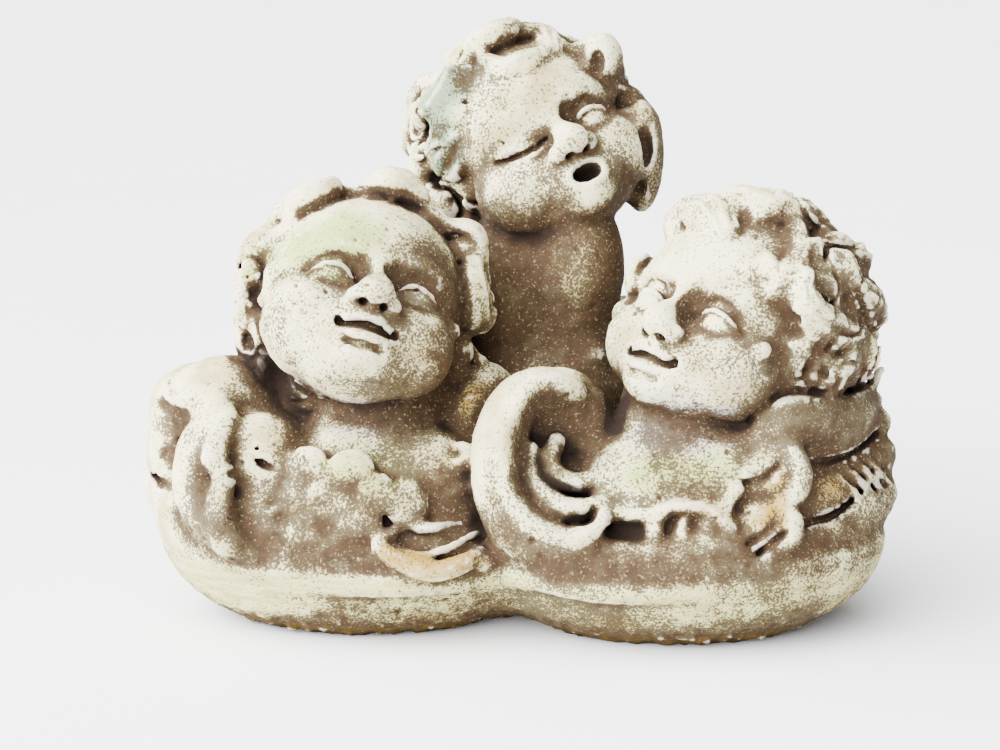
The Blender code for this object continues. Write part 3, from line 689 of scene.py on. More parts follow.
# Lift of the routes and of the walks over the skull, and how far a walk rises to its tip, in skull radii.
ROUTE_LIFT = 0.05
WALK_LIFT = 0.09
TIP_RISE = 0.05

# Locks by head: route over the skull as azimuth, elevation and lift, then width, depth and furrows.
LOCKS = {
    "left": (
        ([(-36, 46, .0), (-49, 42, .05), (-63, 34, .04), (-72, 26, .03), (-78, 19, .06), (-82, 14, .05)],
         .09, .13, 2),
        ([(-62, 50, .0), (-84, 40, .03), (-98, 24, .05), (-102, 8, .04)], .11, .13, 2),
        ([(-60, 16, 0), (-76, 10, .02), (-90, 8, .04), (-98, -2, .05)], .08, .1, 1),
        ([(-47, -3, 0), (-49, -10, 0), (-59, -15, 0), (-74, -13, 0), (-96, -5, .1)], .07, .1, 1),
        ([(-46, -17, 0), (-63, -21, 0), (-75, -24, 0), (-105, -18, .08)], .06, .09, 1),
        ([(43, 38, .05), (46, 36, .15), (51, 32, .24), (56, 28, .23), (62, 22, .16), (68, 15, .14)], .07,
         .1, 1),
        ([(22, 48, .04), (32, 44, .04), (41, 39, .06)], .07, .1, 1),
        ([(34, 62, -.03), (50, 55, 0), (66, 44, .03), (78, 30, .05), (84, 16, .05)], .1, .12, 2),
        ([(73, 3, 0), (73, 8, .11), (76, 5, .2), (80, -1, .18), (80, -1, .02)], .055, .08, 0),
        ([(87, -10, .08), (88, -13, .2), (89, -14, .3), (92, -19, .28), (94, -21, .16)], .06, .09, 0),
        ([(95, -21, .12), (99, -26, .15), (104, -31, .15)], .08, .1, 1),
        ([(-20, 50, .04), (-8, 51, .12), (4, 51, .14), (16, 48, .12)], .13, .18, 2),
    ),
    "right": (
        ([(-5, 39, 0), (1, 46, 0), (13, 47, 0)], .08, .1, 1),
        ([(16, 44, 0), (29, 55, 0), (44, 50, 0), (51, 38, 0), (51, 23, 0), (43, 15, 0), (38, 17, 0)], .08,
         .12, 1),
        ([(53, 39, 0), (65, 47, 0), (79, 45, 0), (77, 32, 0), (76, 21, 0)], .075, .11, 1),
        ([(45, 6, 0), (51, 14, 0), (62, 21, 0), (74, 21, 0), (81, 11, 0), (84, 0, 0), (82, -9, 0)], .09,
         .12, 1),
        ([(51, 4, 0), (59, 6, 0), (68, 0, 0), (70, -9, 0), (66, -15, 0)], .05, .09, 0),
        ([(90, -11, 0), (81, -10, 0), (75, -16, 0), (76, -25, 0), (89, -30, 0), (100, -25, 0),
          (100, -15, 0)], .08, .12, 1),
        ([(83, 12, 0), (93, 5, 0), (102, -5, 0), (108, -16, 0)], .065, .11, 1),
        ([(-30, 48, 0), (-48, 40, 0), (-62, 28, 0), (-68, 12, 0)], .09, .12, 1),
        ([(-46, 0, .08), (-47, -6, .13), (-49, -15, .1), (-50, -18, .08)], .06, .09, 0),
        ([(-51, -24, .1), (-51, -27, .18), (-52, -32, .2)], .075, .1, 0),
        ([(4, 62, 0), (30, 70, .02), (70, 66, .02), (95, 56, 0), (102, 38, 0)], .1, .12, 2),
        ([(-41, 22, .04), (-38, 32, .06), (-17, 36, .04), (4, 26, 0)], .16, .16, 2),
    ),
    "rear": (
        ([(-22, 49, 0), (-39, 48, 0), (-63, 50, 0), (-87, 46, .05), (-95, 36, .04), (-99, 28, .01),
          (-77, 12, 0)], .09, .12, 1),
        ([(-32, 37, 0), (-42, 28, 0), (-49, 17, 0), (-62, 17, 0), (-75, 11, 0), (-82, 5, 0)], .08, .11, 1),
        ([(-56, 5, 0), (-69, 3, 0), (-79, -3, 0), (-79, -10, 0)], .07, .1, 1),
        ([(-102, 22, .03), (-104, 16, .1), (-106, 10, .12)], .065, .09, 0),
        ([(-95, -1, 0), (-72, -12, 0), (-64, -10, 0)], .045, .08, 0),
        ([(-85, -13, 0), (-75, -20, 0), (-77, -28, 0), (-97, -31, 0), (-110, -20, 0), (-96, -16, 0)], .055,
         .1, 0),
        ([(37, 29, 0), (44, 22, 0), (57, 20, .1), (60, 10, .14), (64, 2, .06), (50, -11, 0)], .065, .1, 1),
        ([(56, -8, .06), (69, -14, .16), (73, -23, .26), (76, -33, .3), (80, -43, .3), (84, -50, .26)],
         .075, .14, 0),
        ([(58, -38, .1), (70, -44, .16), (80, -50, .16)], .07, .12, 0),
        ([(50, 44, .02), (66, 34, .03), (78, 20, .03), (82, 4, .03)], .1, .12, 2),
        ([(-17, 40, 0), (-10, 24, 0), (2, 23, 0), (15, 24, 0)], .08, .11, 1),
        ([(-12, 51, 0), (17, 63, .02), (35, 53, .03), (45, 43, .03), (28, 28, 0)], .13, .14, 2),
    ),
}

# Masses under locks that stand off the skull, and hollows between locks: place over the skull and radius.
MASSES = {
    "left": (((-111, -25, -.03), .17), ((55, 28, .02), .14), ((86, -12, .02), .14), ((84, 8, -.06), .2),
             ((-88, 2, -.08), .2)),
    "right": (((-48, -12, -.05), .14), ((-52, -28, -.02), .12), ((88, -20, -.08), .17),
              ((70, 36, -.08), .2)),
    "rear": (((74, -34, .08), .26), ((70, -14, .02), .24), ((72, -24, .2), .16), ((58, 14, -.04), .14),
             ((-92, -22, -.08), .16), ((-90, 30, -.08), .2)),
}
HOLLOWS = {
    "left": (((-56, 5, .06), .07), ((-91, 2, .1), .06), ((-108, -29, .16), .07), ((53, 31, .24), .05),
             ((68, 30, .1), .07)),
    "right": (((59, -3, .05), .06), ((88, -18, .1), .055), ((62, 36, .08), .07), ((-22, 25, .2), .05),
              ((28, 34, .06), .07)),
    "rear": (((60, 13, .12), .06), ((66, -26, .3), .1), ((66, 2, .16), .07), ((-90, -22, .06), .07),
             ((-84, 28, .1), .07), ((12, 36, .06), .06)),
}


def walk_on_skull(azimuth, elevation, heading, length, curl, spiral, steps=9):
    """A walk over the skull in equal strides, turned by curl at each and by spiral more towards the end."""
    azimuth, elevation, heading = (math.radians(angle) for angle in (azimuth, elevation, heading))
    here = np.array([math.sin(azimuth) * math.cos(elevation), -math.cos(azimuth) * math.cos(elevation),
                     math.sin(elevation)])
    east = np.array([math.cos(azimuth), math.sin(azimuth), 0.0])
    north = np.cross(east, here)
    north = -north if north[2] < 0 else north
    way = math.cos(heading) * north + math.sin(heading) * east
    stride = length / steps
    path = []
    for k in range(steps + 1):
        share = k / steps
        path.append(SKULL + SKULL_RADII * here * (1 + WALK_LIFT + TIP_RISE * share))
        turn = math.radians(curl + spiral * share * share) * stride
        way = way * math.cos(turn) + np.cross(here, way) * math.sin(turn)
        ahead = here * math.cos(stride) + way * math.sin(stride)
        way = way * math.cos(stride) - here * math.sin(stride)
        here = ahead / np.linalg.norm(ahead)
        way = way - here * (way @ here)
        way /= np.linalg.norm(way)
    return path


# Rows of curled locks from crown to nape: elevation, number, azimuth of the first and shift, in degrees.
CURL_ROWS = ((70, 6, 60, 0), (38, 7, 95, 3.6), (8, 7, 95, 0), (-22, 6, 95, 4.2), (-46, 5, 95, 0))
# Curled locks on the far cheek of the right head: azimuth, elevation, heading, curl and spiral, in degrees.
FAR_LOCKS = ((-84, 20, -60, 60, 330), (-90, -8, -150, -50, -330), (-96, -32, -60, 60, 340))
# Half widths and half depths along a named lock, as shares of its width and depth.
LOCK_WIDTHS = np.array((0.8, 1.4, 1.55, 1.4, 0.9))
LOCK_DEPTHS = np.array((0.6, 0.85, 0.85, 0.6))


def hair(clay, place, name):
    """The named locks round the face and rows of curled locks over the crown and the back of the head."""
    ball, strand = clay.ball, clay.strand
    lift = 0.0 if name == "left" else 0.08
    ball((0, 0.4, 0.13 + lift), (1.02, 0.91, 0.93 + 0.4 * lift), place, blend=0.3)
    ball((0, 0.5, -0.3), (0.9, 0.72, 0.7), place, blend=0.2)
    for row, (elevation, count, first, shift) in enumerate(CURL_ROWS):
        for k in range(count):
            # The left head's crown is lower at both sides of the brow.
            if name == "left" and row == 0 and k in (0, count - 1):
                continue
            sense = 1 if (k + row) % 2 else -1
            azimuth = first + (360 - 2 * first) / (count - 1) * k + shift
            path = walk_on_skull(azimuth, elevation, 180 - 60 * sense, 0.85, 50 * sense, 300 * sense)
            strand(path, (0.1, 0.19, 0.19, 0.15, 0.09), (0.1, 0.14, 0.16, 0.16, 0.12), place=place,
                   centre=SKULL, blend=0.03,
                   grooves=3, groove_depth=0.024)
    if name == "right":
        for azimuth, elevation, heading, curl, spiral in FAR_LOCKS:
            path = walk_on_skull(azimuth, elevation, heading, 0.75, curl, spiral)
            strand(path, (0.08, 0.15, 0.15, 0.12, 0.08), (0.1, 0.12, 0.13, 0.1), place=place, centre=SKULL,
                   blend=0.025,
                   grooves=2, groove_depth=0.02)
    for at, radius in MASSES[name]:
        ball(on_skull([at])[0], radius, place, blend=0.06)
    for route, width, depth, furrows in LOCKS[name]:
        strand(on_skull(route), LOCK_WIDTHS * width, LOCK_DEPTHS * depth, place=place, centre=SKULL,
               blend=0.09,
               grooves=furrows + 1 if furrows else 0, groove_depth=0.2 * width)
    for at, radius in HOLLOWS[name]:
        ball(on_skull([at])[0], (radius, radius, radius), place, blend=0.03, cut=True)


# Round curls and their hollows, in grains: place, radii, blend and whether it is cut away.
CURLS = {
    "left": (
        ((-108, -44, 117), (9.5, 10, 10), 1.5, False), ((-111, -54, 118), (3.6, 5, 4.6), 1, True),
        ((-117, -51, 112), (1.8, 3, 1.8), 0.5, True),
        ((-99, -60, 102), (5.5, 10, 10), 3, True),
    ),
    "right": (),
    "rear": (
        ((38, 32, 228), (10, 11, 12), 4, False), ((36, 20, 227), (3.5, 6, 6.5), 1.5, True),
        ((56, 26, 186), (10, 12, 25), 6, False), ((57, 13, 192), (4, 6, 9), 1.5, True),
        ((55, 14, 172), (3, 5, 5), 1.5, True),
    ),
}

# The bare oval of each face: azimuth of its middle and elevation of its top. Then its half width and middle.
FACE_OVALS = {"left": (0, 62), "right": (6, 48), "rear": (6, 50)}
OVAL_HALF_WIDTH = 64
OVAL_MIDDLE = -16
# Furrows of the hair: size of the noise, width in its own measure and depth. Lumps: height and size.
HAIR_FURROWS = ((11.0, 0.34, 3.0), (6.0, 0.3, 1.0))
HAIR_LUMPS = (1.7, 14.0)
# Noise seeds of each head's curls and lumps.
CURL_SEEDS = {"left": (14, 64), "right": (15, 65), "rear": (14, 64)}


def curly(head, place, name):
    """Winding furrows over the hair, along the zero lines of smooth noise, outside an oval round the face."""
    curl_seed, lump_seed = CURL_SEEDS[name]
    _, grid = head.block(head.low, head.low + head.step * (head.count - 1))
    turned_back = (grid - place.origin.astype(np.float32)) @ place.turn.astype(np.float32)
    share = turned_back / place.unit - SKULL.astype(np.float32)
    azimuth = np.degrees(np.arctan2(share[..., 0], -share[..., 1]))
    elevation = np.degrees(np.arctan2(share[..., 2], np.hypot(share[..., 0], share[..., 1])))
    middle, top = FACE_OVALS[name]
    oval = np.hypot((azimuth - middle) / OVAL_HALF_WIDTH, (elevation - OVAL_MIDDLE) / (top - OVAL_MIDDLE))
    within_hair = np.clip((oval - 1) / 0.15, 0, 1)
    height, cell = HAIR_LUMPS
    head.values += height * within_hair * cloud(head.count, head.step, cell, lump_seed)
    for cell, width, depth in HAIR_FURROWS:
        furrow = np.clip(1 - np.abs(cloud(head.count, head.step, cell, curl_seed)) / width, 0, 1)
        head.values += depth * within_hair * furrow * furrow


def heads(clay):
    """Each head is carved by itself and then set on its neck."""
    for name, place in HEADS.items():
        reach = HEAD_REACH * HEAD_UNIT
        head = clay.lump(place.origin - reach, place.origin + reach)
        face(head, place)
        head.values = blurred(head.values, round(MELT / head.step))
        nostrils(head, place)
        for side in (-1, 1):
            if name == "rear" and side == -1:
                closed_eye(head, place, side)
            else:
                open_eye(head, place, side)
        if name == "rear":
            singing_mouth(head, place)
        else:
            parted_lips(head, place)
        hair(head, place, name)
        curly(head, place, name)
        for at, radii, blend, cut in CURLS[name]:
            head.ball(at, radii, blend=blend, cut=cut)
        clay.join(head, 2.0)


def cloud(shape, step, cell, seed):
    """Smooth noise: a seeded value at each corner of a coarse grid, blended in straight lines between them."""
    corners = [int(n * step / cell) + 3 for n in shape]
    noise = np.random.default_rng(seed).standard_normal(corners).astype(np.float32)
    for axis, n in enumerate(shape):
        at = np.arange(n) * step / cell
        low = at.astype(int)
        share = (at - low).astype(np.float32).reshape([-1 if k == axis else 1 for k in range(3)])
        noise = np.take(noise, low, axis) * (1 - share) + np.take(noise, low + 1, axis) * share
    return noise


def weather(clay, roughness, pits):
    """An uneven casting skin, rougher near the foot, with open pores at seeded places."""
    height = clay.low[2] + clay.step * np.arange(clay.count[2])
    lower, foot = (np.clip(1 - height / reach, 0, 1) for reach in (26, 9))
    coarseness = (roughness * (1 + 1.6 * lower + 3 * foot)).astype(np.float32)
    medium, fine = cloud(clay.count, clay.step, 3.2, 1), cloud(clay.count, clay.step, 1.9, 2)
    clay.values += coarseness * (0.75 * medium + 0.6 * fine + 0.8)
    near = np.argwhere(np.abs(clay.values) < 0.45 * clay.step)
    rng = np.random.default_rng(3)
    chosen = near[rng.integers(0, len(near), pits)]
    sizes = 0.75 + 0.75 * rng.random(pits) ** 3
    for corner, size in zip(chosen, sizes):
        clay.ball(clay.low + clay.step * corner, size, blend=0.4, cut=True)


def floor_cut(clay):
    """Everything under the floor goes: the greater of the distance and the depth under it."""
    height = (clay.low[2] + clay.step * np.arange(clay.count[2])).astype(np.float32)
    clay.values = np.maximum(clay.values, -height)


def blurred(field, cells):
    """Mean of the field over a cube, by running sums along each axis."""
    for axis in range(3):
        padded = np.concatenate([np.take(field, [0] * cells, axis), field,
                                 np.take(field, [-1] * cells, axis)], axis)
        sums = np.cumsum(padded, axis, dtype=np.float32)
        first = np.zeros_like(np.take(sums, [0], axis))
        sums = np.concatenate([first, sums], axis)
        n = field.shape[axis]
        upper = np.take(sums, np.arange(2 * cells + 1, 2 * cells + 1 + n), axis)
        lower = np.take(sums, np.arange(n), axis)
        field = (upper - lower) / (2 * cells + 1)
    return field


def read_field(field, clay, points):
    """The field at any places, weighted between the eight grid points round each."""
    at = np.clip((points - clay.low) / clay.step, 0, np.array(field.shape) - 1.001)
    low = at.astype(int)
    share = at - low
    total = np.zeros(len(points))
    for corner in np.ndindex(2, 2, 2):
        weight = np.prod(np.where(corner, share, 1 - share), axis=1)
        total += weight * field[tuple((low + corner).T)]
    return total


# The way that the sides painted in shade face: right and down, away from the light.
SHADED_SIDE = np.array((0.86, -0.1, -0.45), np.float32)

# Where a face keeps its cream paint, partly a painted highlight on raised parts that is stronger on the lit
# left side: a place on the head, how far it reaches and how strong it is.
CLEAN_AND_LIT_SPOTS = (
    ((-0.385, -0.88, -0.26), 0.16, 0.6), ((0.385, -0.88, -0.26), 0.16, 0.45), ((0, -1.05, -0.4), 0.2, 0.5),
    ((0, -1.0, -0.9), 0.13, 0.4), ((0, -0.98, -1.02), 0.2, 0.4), ((-0.5, -0.85, -0.6), 0.3, 0.35),
    ((0.5, -0.85, -0.6), 0.3, 0.2),
    ((-0.1, -0.85, 0.15), 0.45, 0.35),
)

# Where each tint lies: a place or a route in grains, how far it reaches and how strong it is. The near-black
# strokes are painted shade in gaps, slits and under the rear head, some brown strokes are painted shade on
# shaded necks, hair and wings, and the clean stroke is partly a painted highlight.
TINTS = {
    "green": (
        ([(-84, -68, 160), (-62, -76, 168)], 22, 0.85), ([(-104, -50, 150), (-108, -40, 130)], 12, 0.8),
        ([(-80, -84, 118), (-66, -90, 112)], 9, 0.5), ([(-72, -90, 78), (-50, -92, 74)], 20, 0.6),
        ([(48, -98, 74), (84, -96, 78)], 17, 0.6), ([(-12, -8, 214), (10, -14, 222)], 16, 0.5),
        ([(30, -8, 128), (18, -6, 112)], 14, 0.7),
    ),
    "teal": (
        ([(-30, 10, 186), (-36, 12, 208), (-24, 12, 228)], 13, 1.0),
    ),
    "ochre": (
        ([(-18, -52, 92), (-20, -62, 74)], 12, 1.0),
        ([(-48, -102, 42), (-32, -104, 38), (-14, -98, 40)], 10, 0.8),
        ([(-30, -90, 60), (-14, -84, 56)], 11, 0.6), ([(124, -82, 62), (148, -60, 72)], 10, 0.75),
        ([(-40, -80, 10), (0, -70, 14), (40, -96, 10)], 18, 0.7),
        ([(-110, -70, 12), (-70, -90, 8)], 12, 0.4), ([(104, -98, 70), (102, -104, 52)], 7, 0.8),
        ([(90, -92, 9), (128, -60, 14)], 12, 0.4), ([(100, -96, 62), (98, -104, 50)], 11, 0.5),
        ([(28, -8, 96)], 10, 0.9), ([(-12, 14, 236)], 7, 0.9),
        ([(-26, -30, 116), (-22, -26, 136)], 12, 0.5), ([(122, -74, 66), (146, -56, 72)], 14, 0.6),
    ),
    "lilac": (
        ([(-78, -66, 106), (-60, -72, 96)], 15, 1.0), ([(60, -84, 92), (84, -82, 92)], 14, 0.95),
        ([(10, -4, 140), (16, -6, 122)], 14, 0.5),
    ),
    # Partly a painted highlight on the lit left neck.
    "clean_and_lit": (
        ([(-78, -70, 104), (-62, -74, 96)], 14, 0.45),
    ),
    # Painted shade: near-black in gaps, slits, feather cuts and under the rear head.
    "painted_shade": (
        ([(-103, -54, 112), (-96, -62, 98)], 8, 1.2), ([(42, -62, 92), (40, -66, 84)], 7, 1.0),
        ([(-30, -64, 84), (-34, -66, 78)], 6, 0.9),
        ([(9, -90, 78), (10, -92, 70), (22, -94, 63)], 5, 0.9),
        ([(44, -100, 50), (54, -100, 50)], 4, 0.8),
        *(([(122 + 5.2 * k, -87 + 5.6 * k, 69), (131 + 5.2 * k, -83 + 5.6 * k, 58)], 1.5,
           1.0) for k in range(6)),
        ([(-16, 6, 158), (14, -6, 156), (40, 2, 158)], 10, 0.6),
        ([(40, -14, 130), (48, -22, 112)], 10, 0.5), ([(18, -66, 88), (20, -72, 78)], 9, 0.5),
    ),
    # Partly the real brown ground on the bands and rims, partly painted shade: the rear neck and chest, the
    # right hair, the outer wing and other shaded places.
    "brown": (
        ([(14, -4, 150), (18, -8, 118)], 26, 0.8), ([(112, -62, 152), (122, -48, 128)], 24, 0.45),
        ([(60, 20, 206), (66, 22, 184)], 14, 0.5), ([(-40, 10, 204), (-34, 2, 176)], 12, 0.3),
        ([(122, -70, 80), (142, -54, 76)], 20, 0.5), ([(-86, -92, 64), (-56, -96, 62)], 18, 0.3),
        ([(-36, -84, 128), (-34, -76, 112)], 13, 0.35),
        ([(12, -78, 96), (20, -74, 88), (28, -70, 80)], 12, 0.5),
        ([(-44, -74, 160), (-38, -72, 140), (-44, -76, 124)], 13, 0.35),
        ([(-36, -60, 150), (-30, -62, 128), (-38, -68, 110)], 12, 0.9),
        ([(-66, -84, 136), (-52, -84, 138)], 6, 0.5), ([(60, -82, 150), (74, -86, 152)], 7, 0.7),
        ([(98, -84, 112), (112, -74, 118)], 10, 0.5), ([(14, -8, 200), (30, -12, 196)], 7, 0.5),
        ([(-10, 2, 172), (10, -2, 162), (34, 4, 168)], 9, 0.8),
        ([(18, -106, 37), (44, -112, 38), (75, -113, 40), (104, -104, 43), (130, -84, 47)], 10, 1.0),
        ([(-142, -52, 56), (-130, -76, 46), (-104, -92, 40), (-70, -98, 37), (-46, -98, 33)], 8, 1.0),
        ([(-8, -90, 78), (-9, -98, 62), (0, -106, 46), (16, -110, 38)], 8, 0.75),
        ([(-123, -86, 82), (-124, -92, 64), (-120, -96, 50)], 6, 0.8),
        ([(-90, -88, 82), (-85, -90, 72)], 7, 0.7),
        ([(-82, -94, 60), (-68, -92, 66), (-58, -96, 60)], 4.5, 0.6),
        ([(-30, -82, 66), (-38, -84, 62)], 6, 0.7), ([(-140, -58, 92), (-128, -70, 88)], 6, 0.8),
        ([(-142, -62, 72), (-134, -70, 78)], 5, 0.7), ([(120, -72, 78), (140, -60, 82)], 7, 0.6),
    ),
}


# Over how many grains each mask takes its mean, and how far out from the surface it looks. The two that look
# out measure occlusion, and the finish paints shade with them.
MASK_REACH = {"crevice": (2.6, 0), "recess": (7, 0), "near_occlusion": (7, 6), "broad_occlusion": (18, 16)}
# Reach and strength of the brown painted along the edges of the lids as the shade in their creases, in half
# widths of a head.
LID_LINE = (0.03, 0.9)


def fading(corners, spots, reach):
    """1 on the nearest of some spots, and exp(-(distance / reach)^2) away from it."""
    squares = np.min([((corners - spot) ** 2).sum(1) for spot in spots], axis=0)
    return np.exp(-squares / reach**2)


def stain(mesh, clay, grain):
    """Attributes that the finish reads, from the mean of the solid round each corner of the mesh.

    A flat face lies half in the solid. More than half is a crevice or a recess, and less is an edge.
    The means a little way out from the surface measure occlusion, so open air gives 0, and the finish paints
    shade with them.
    Another mask is how far the surface faces right and down, the side that the finish paints in shade. Tints,
    lid lines and the clean and lit spots fade away from their places.
    """
    count = len(mesh.vertices)
    corners = np.empty(count * 3, np.float32)
    normals = np.empty(count * 3, np.float32)
    mesh.vertices.foreach_get("co", corners)
    mesh.vertex_normals.foreach_get("vector", normals)
    corners = corners.reshape(-1, 3) / grain
    normals = normals.reshape(-1, 3)
    solid = (clay.values < 0).astype(np.float32)
    solid[:, :, : int((0 - clay.low[2]) / clay.step)] = 0.5
    # One mask is how far each corner faces right and down, which the finish paints darker as shade.
    masks = {"height": corners[:, 2], "shaded_side": normals @ SHADED_SIDE}
    for name, (reach, out) in MASK_REACH.items():
        mean = read_field(blurred(solid, round(reach / clay.step)), clay, corners + out * normals)
        masks[name] = 2 * mean if out else 2 * (mean - 0.5)
    for name, strokes in TINTS.items():
        masks[name] = np.zeros(count)
        for route, reach, strength in strokes:
            spots = smooth_path(route, 12) if len(route) > 1 else np.array(route, float)
            masks[name] = np.maximum(masks[name], strength * fading(corners, spots, reach))
    # Brown lines along the lids are painted shade in their creases. The spots that keep faces clean are partly
    # a painted highlight.
    for place in HEADS.values():
        reach, strength = LID_LINE
        for side in (-1, 1):
            for points in (UPPER_LID, LOWER_LID):
                spots = smooth_path(place.point(np.array(lid(side, points)) + (0, -0.02, -0.03)), 16)
                line = strength * fading(corners, spots, reach * place.unit)
                masks["brown"] = np.maximum(masks["brown"], line)
        for spot, reach, strength in CLEAN_AND_LIT_SPOTS:
            washed = strength * fading(corners, [place.point(spot)], reach * place.unit)
            masks["clean_and_lit"] = np.maximum(masks["clean_and_lit"], washed)
    for name, values in masks.items():
        attribute = mesh.attributes.new(name, "FLOAT", "POINT")
        attribute.data.foreach_set("value", values.astype(np.float32))


def link(name, mesh):
    """Puts a finished mesh in the scene, at the origin."""
    piece = bpy.data.objects.new(name, mesh)
    bpy.context.scene.collection.objects.link(piece)
    return piece


def carve(sizes):
    """The whole group as one mesh, with the attributes of its finish."""
    grain = sizes.height / GRAINS_HIGH
    clay = Clay((*GRID_LOW, -4 * sizes.step), GRID_HIGH, sizes.step)
    for form in (base, left_cherub, great_scroll, right_cherub, rear_cherub):
        form(clay)
    clay.values = blurred(clay.values, round(MELT / sizes.step))
    heads(clay)
    weather(clay, sizes.roughness, sizes.pits)
    floor_cut(clay)
    points, quads = clay.skin()
    mesh = bpy.data.meshes.new("cherub_stone")
    mesh.from_pydata((points * grain).tolist(), [], quads.tolist())
    piece = link("cherub_stone", mesh)
    thin = piece.modifiers.new("thin", "DECIMATE")
    thin.ratio = min(1.0, sizes.triangles / (2 * len(quads)))
    bpy.context.view_layer.update()
    finished = bpy.data.meshes.new_from_object(piece.evaluated_get(bpy.context.evaluated_depsgraph_get()))
    piece.modifiers.clear()
    piece.data = finished
    bpy.data.meshes.remove(mesh)
    finished.name = "cherub_stone"
    corners = np.empty(len(finished.vertices) * 3, np.float32)
    finished.vertices.foreach_get("co", corners)
    corners = corners.reshape(-1, 3)
    corners[corners[:, 2] < FOOT_FLAT * grain, 2] = 0
    finished.vertices.foreach_set("co", corners.ravel())
    finished.update()
    finished.shade_smooth()
    stain(finished, clay, grain)
    return piece


class Graph:
    """A short way to write shader nodes: each call adds a node, sets its inputs and gives one output."""

    def __init__(self, tree):
        self.tree = tree

    def add(self, kind, inputs=None, out=0, **settings):
        node = self.tree.nodes.new(kind)
        for name, value in settings.items():
            setattr(node, name, value)
        for name, value in (inputs or {}).items():
            socket = node.inputs[name]
            if isinstance(value, bpy.types.NodeSocket):
                self.tree.links.new(value, socket)
            else:
                socket.default_value = value
        return node.outputs[out]

    def math(self, operation, a, b=0.0, clamp=False):
        return self.add("ShaderNodeMath", {0: a, 1: b}, operation=operation, use_clamp=clamp)

    def times(self, value, share):
        return self.math("MULTIPLY", value, share)

    def placed(self, group, where, **values):
        """A node group of this file, with its Vector and its other inputs."""
        return self.add("ShaderNodeGroup", {"Vector": where, **values}, node_tree=group)

    def ramp(self, value, low, high):
        """0 under low, 1 over high and smooth between."""
        return self.add("ShaderNodeMapRange", {"Value": value, "From Min": low, "From Max": high},
                        interpolation_type="SMOOTHSTEP", clamp=True)

    def mix(self, share, first, second):
        return self.add("ShaderNodeMix", {0: share, 6: first, 7: second}, out=2, data_type="RGBA")

    def noise(self, where, scale, detail=3.0, rough=0.55):
        return self.add("ShaderNodeTexNoise", {"Vector": where, "Scale": scale, "Detail": detail,
                                               "Roughness": rough})

    def mask(self, name):
        return self.add("ShaderNodeAttribute", out="Fac", attribute_name=name)


def mask_group(name, inputs, make):
    """Node group that puts out one mask, which make works out from a graph and the group's inputs."""
    tree = bpy.data.node_groups.new(name, "ShaderNodeTree")
    for title in inputs:
        kind = "NodeSocketVector" if title == "Vector" else "NodeSocketFloat"
        tree.interface.new_socket(title, in_out="INPUT", socket_type=kind)
    tree.interface.new_socket("Mask", in_out="OUTPUT", socket_type="NodeSocketFloat")
    given = tree.nodes.new("NodeGroupInput").outputs
    result = tree.nodes.new("NodeGroupOutput")
    tree.links.new(make(Graph(tree), given), result.inputs["Mask"])
    return tree


def broken_edge(graph, given):
    """A soft mask with its edge broken up by noise, as worn paint lets go of its ground."""
    centred = graph.math("SUBTRACT", graph.noise(given["Vector"], given["Scale"], 5.0, 0.62), 0.5)
    shifted = graph.math("ADD", given["Mask"], graph.times(centred, given["Amount"]))
    return graph.ramp(shifted, given["Low"], given["High"])


def stipple(graph, given):
    """Grit that takes over as a mask rises: fine noise over a threshold that falls with the mask."""
    grit = graph.noise(given["Vector"], given["Scale"], 3.0, 0.7)
    return graph.ramp(graph.math("ADD", grit, graph.times(given["Mask"], 0.42)), 0.66, 0.74)


def pores(graph, given):
    """Round pores in a share of the cells of a Voronoi pattern, as a mask that is 1 in a pore."""
    cells = {"Vector": given["Vector"], "Scale": given["Scale"], "Randomness": 1.0}
    distance = graph.add("ShaderNodeTexVoronoi", cells, out="Distance")
    own = graph.add("ShaderNodeSeparateColor", {0: distance.node.outputs["Color"]})
    return graph.times(graph.ramp(distance, given["Radius"], 0.0),
                       graph.math("LESS_THAN", own, given["Share"]))


# How much each mask takes the paint down to its brown ground, and what the clouds add and the hull takes off.
# Recess, crevice and the clouds stand for wear; the shaded side and the two occlusion masks are painted shade;
# the brown strokes are partly painted shade and the clean strokes partly a painted highlight.
WEAR_AND_SHADE = {"recess": 0.6, "crevice": 0.7, "near_occlusion": 1.0, "broad_occlusion": 1.0, "shaded_side": 0.5, "brown": 1.0,
        "clean_and_lit": -1.0}
CLOUD_WEAR = 1.9
HULL_KEEPS = 0.4
# How well each tint covers the cream.
TINT_COVER = {"green": 0.85, "lilac": 0.9, "teal": 0.9, "ochre": 0.95}
# Pores of two sizes: cells a metre, radius in cells and the share of the cells that have one.
PORES = ((420.0, 0.32, 0.35), (150.0, 0.18, 0.2))

# Fixed colours: dust, the white of the painted edge highlight, and the near-black of painted shade in deep
# places and in pores.
DUST = (0.5, 0.42, 0.28, 1)
EDGE_HIGHLIGHT_WHITE = (0.66, 0.60, 0.46, 1)
DEEP_SHADE = (0.012, 0.007, 0.005, 1)
PORE_SHADE = (0.03, 0.017, 0.011, 1)


def shade(colour, share):
    """A colour as a shader takes it, times one share or one for each channel."""
    return (*(np.array(colour) * share), 1)


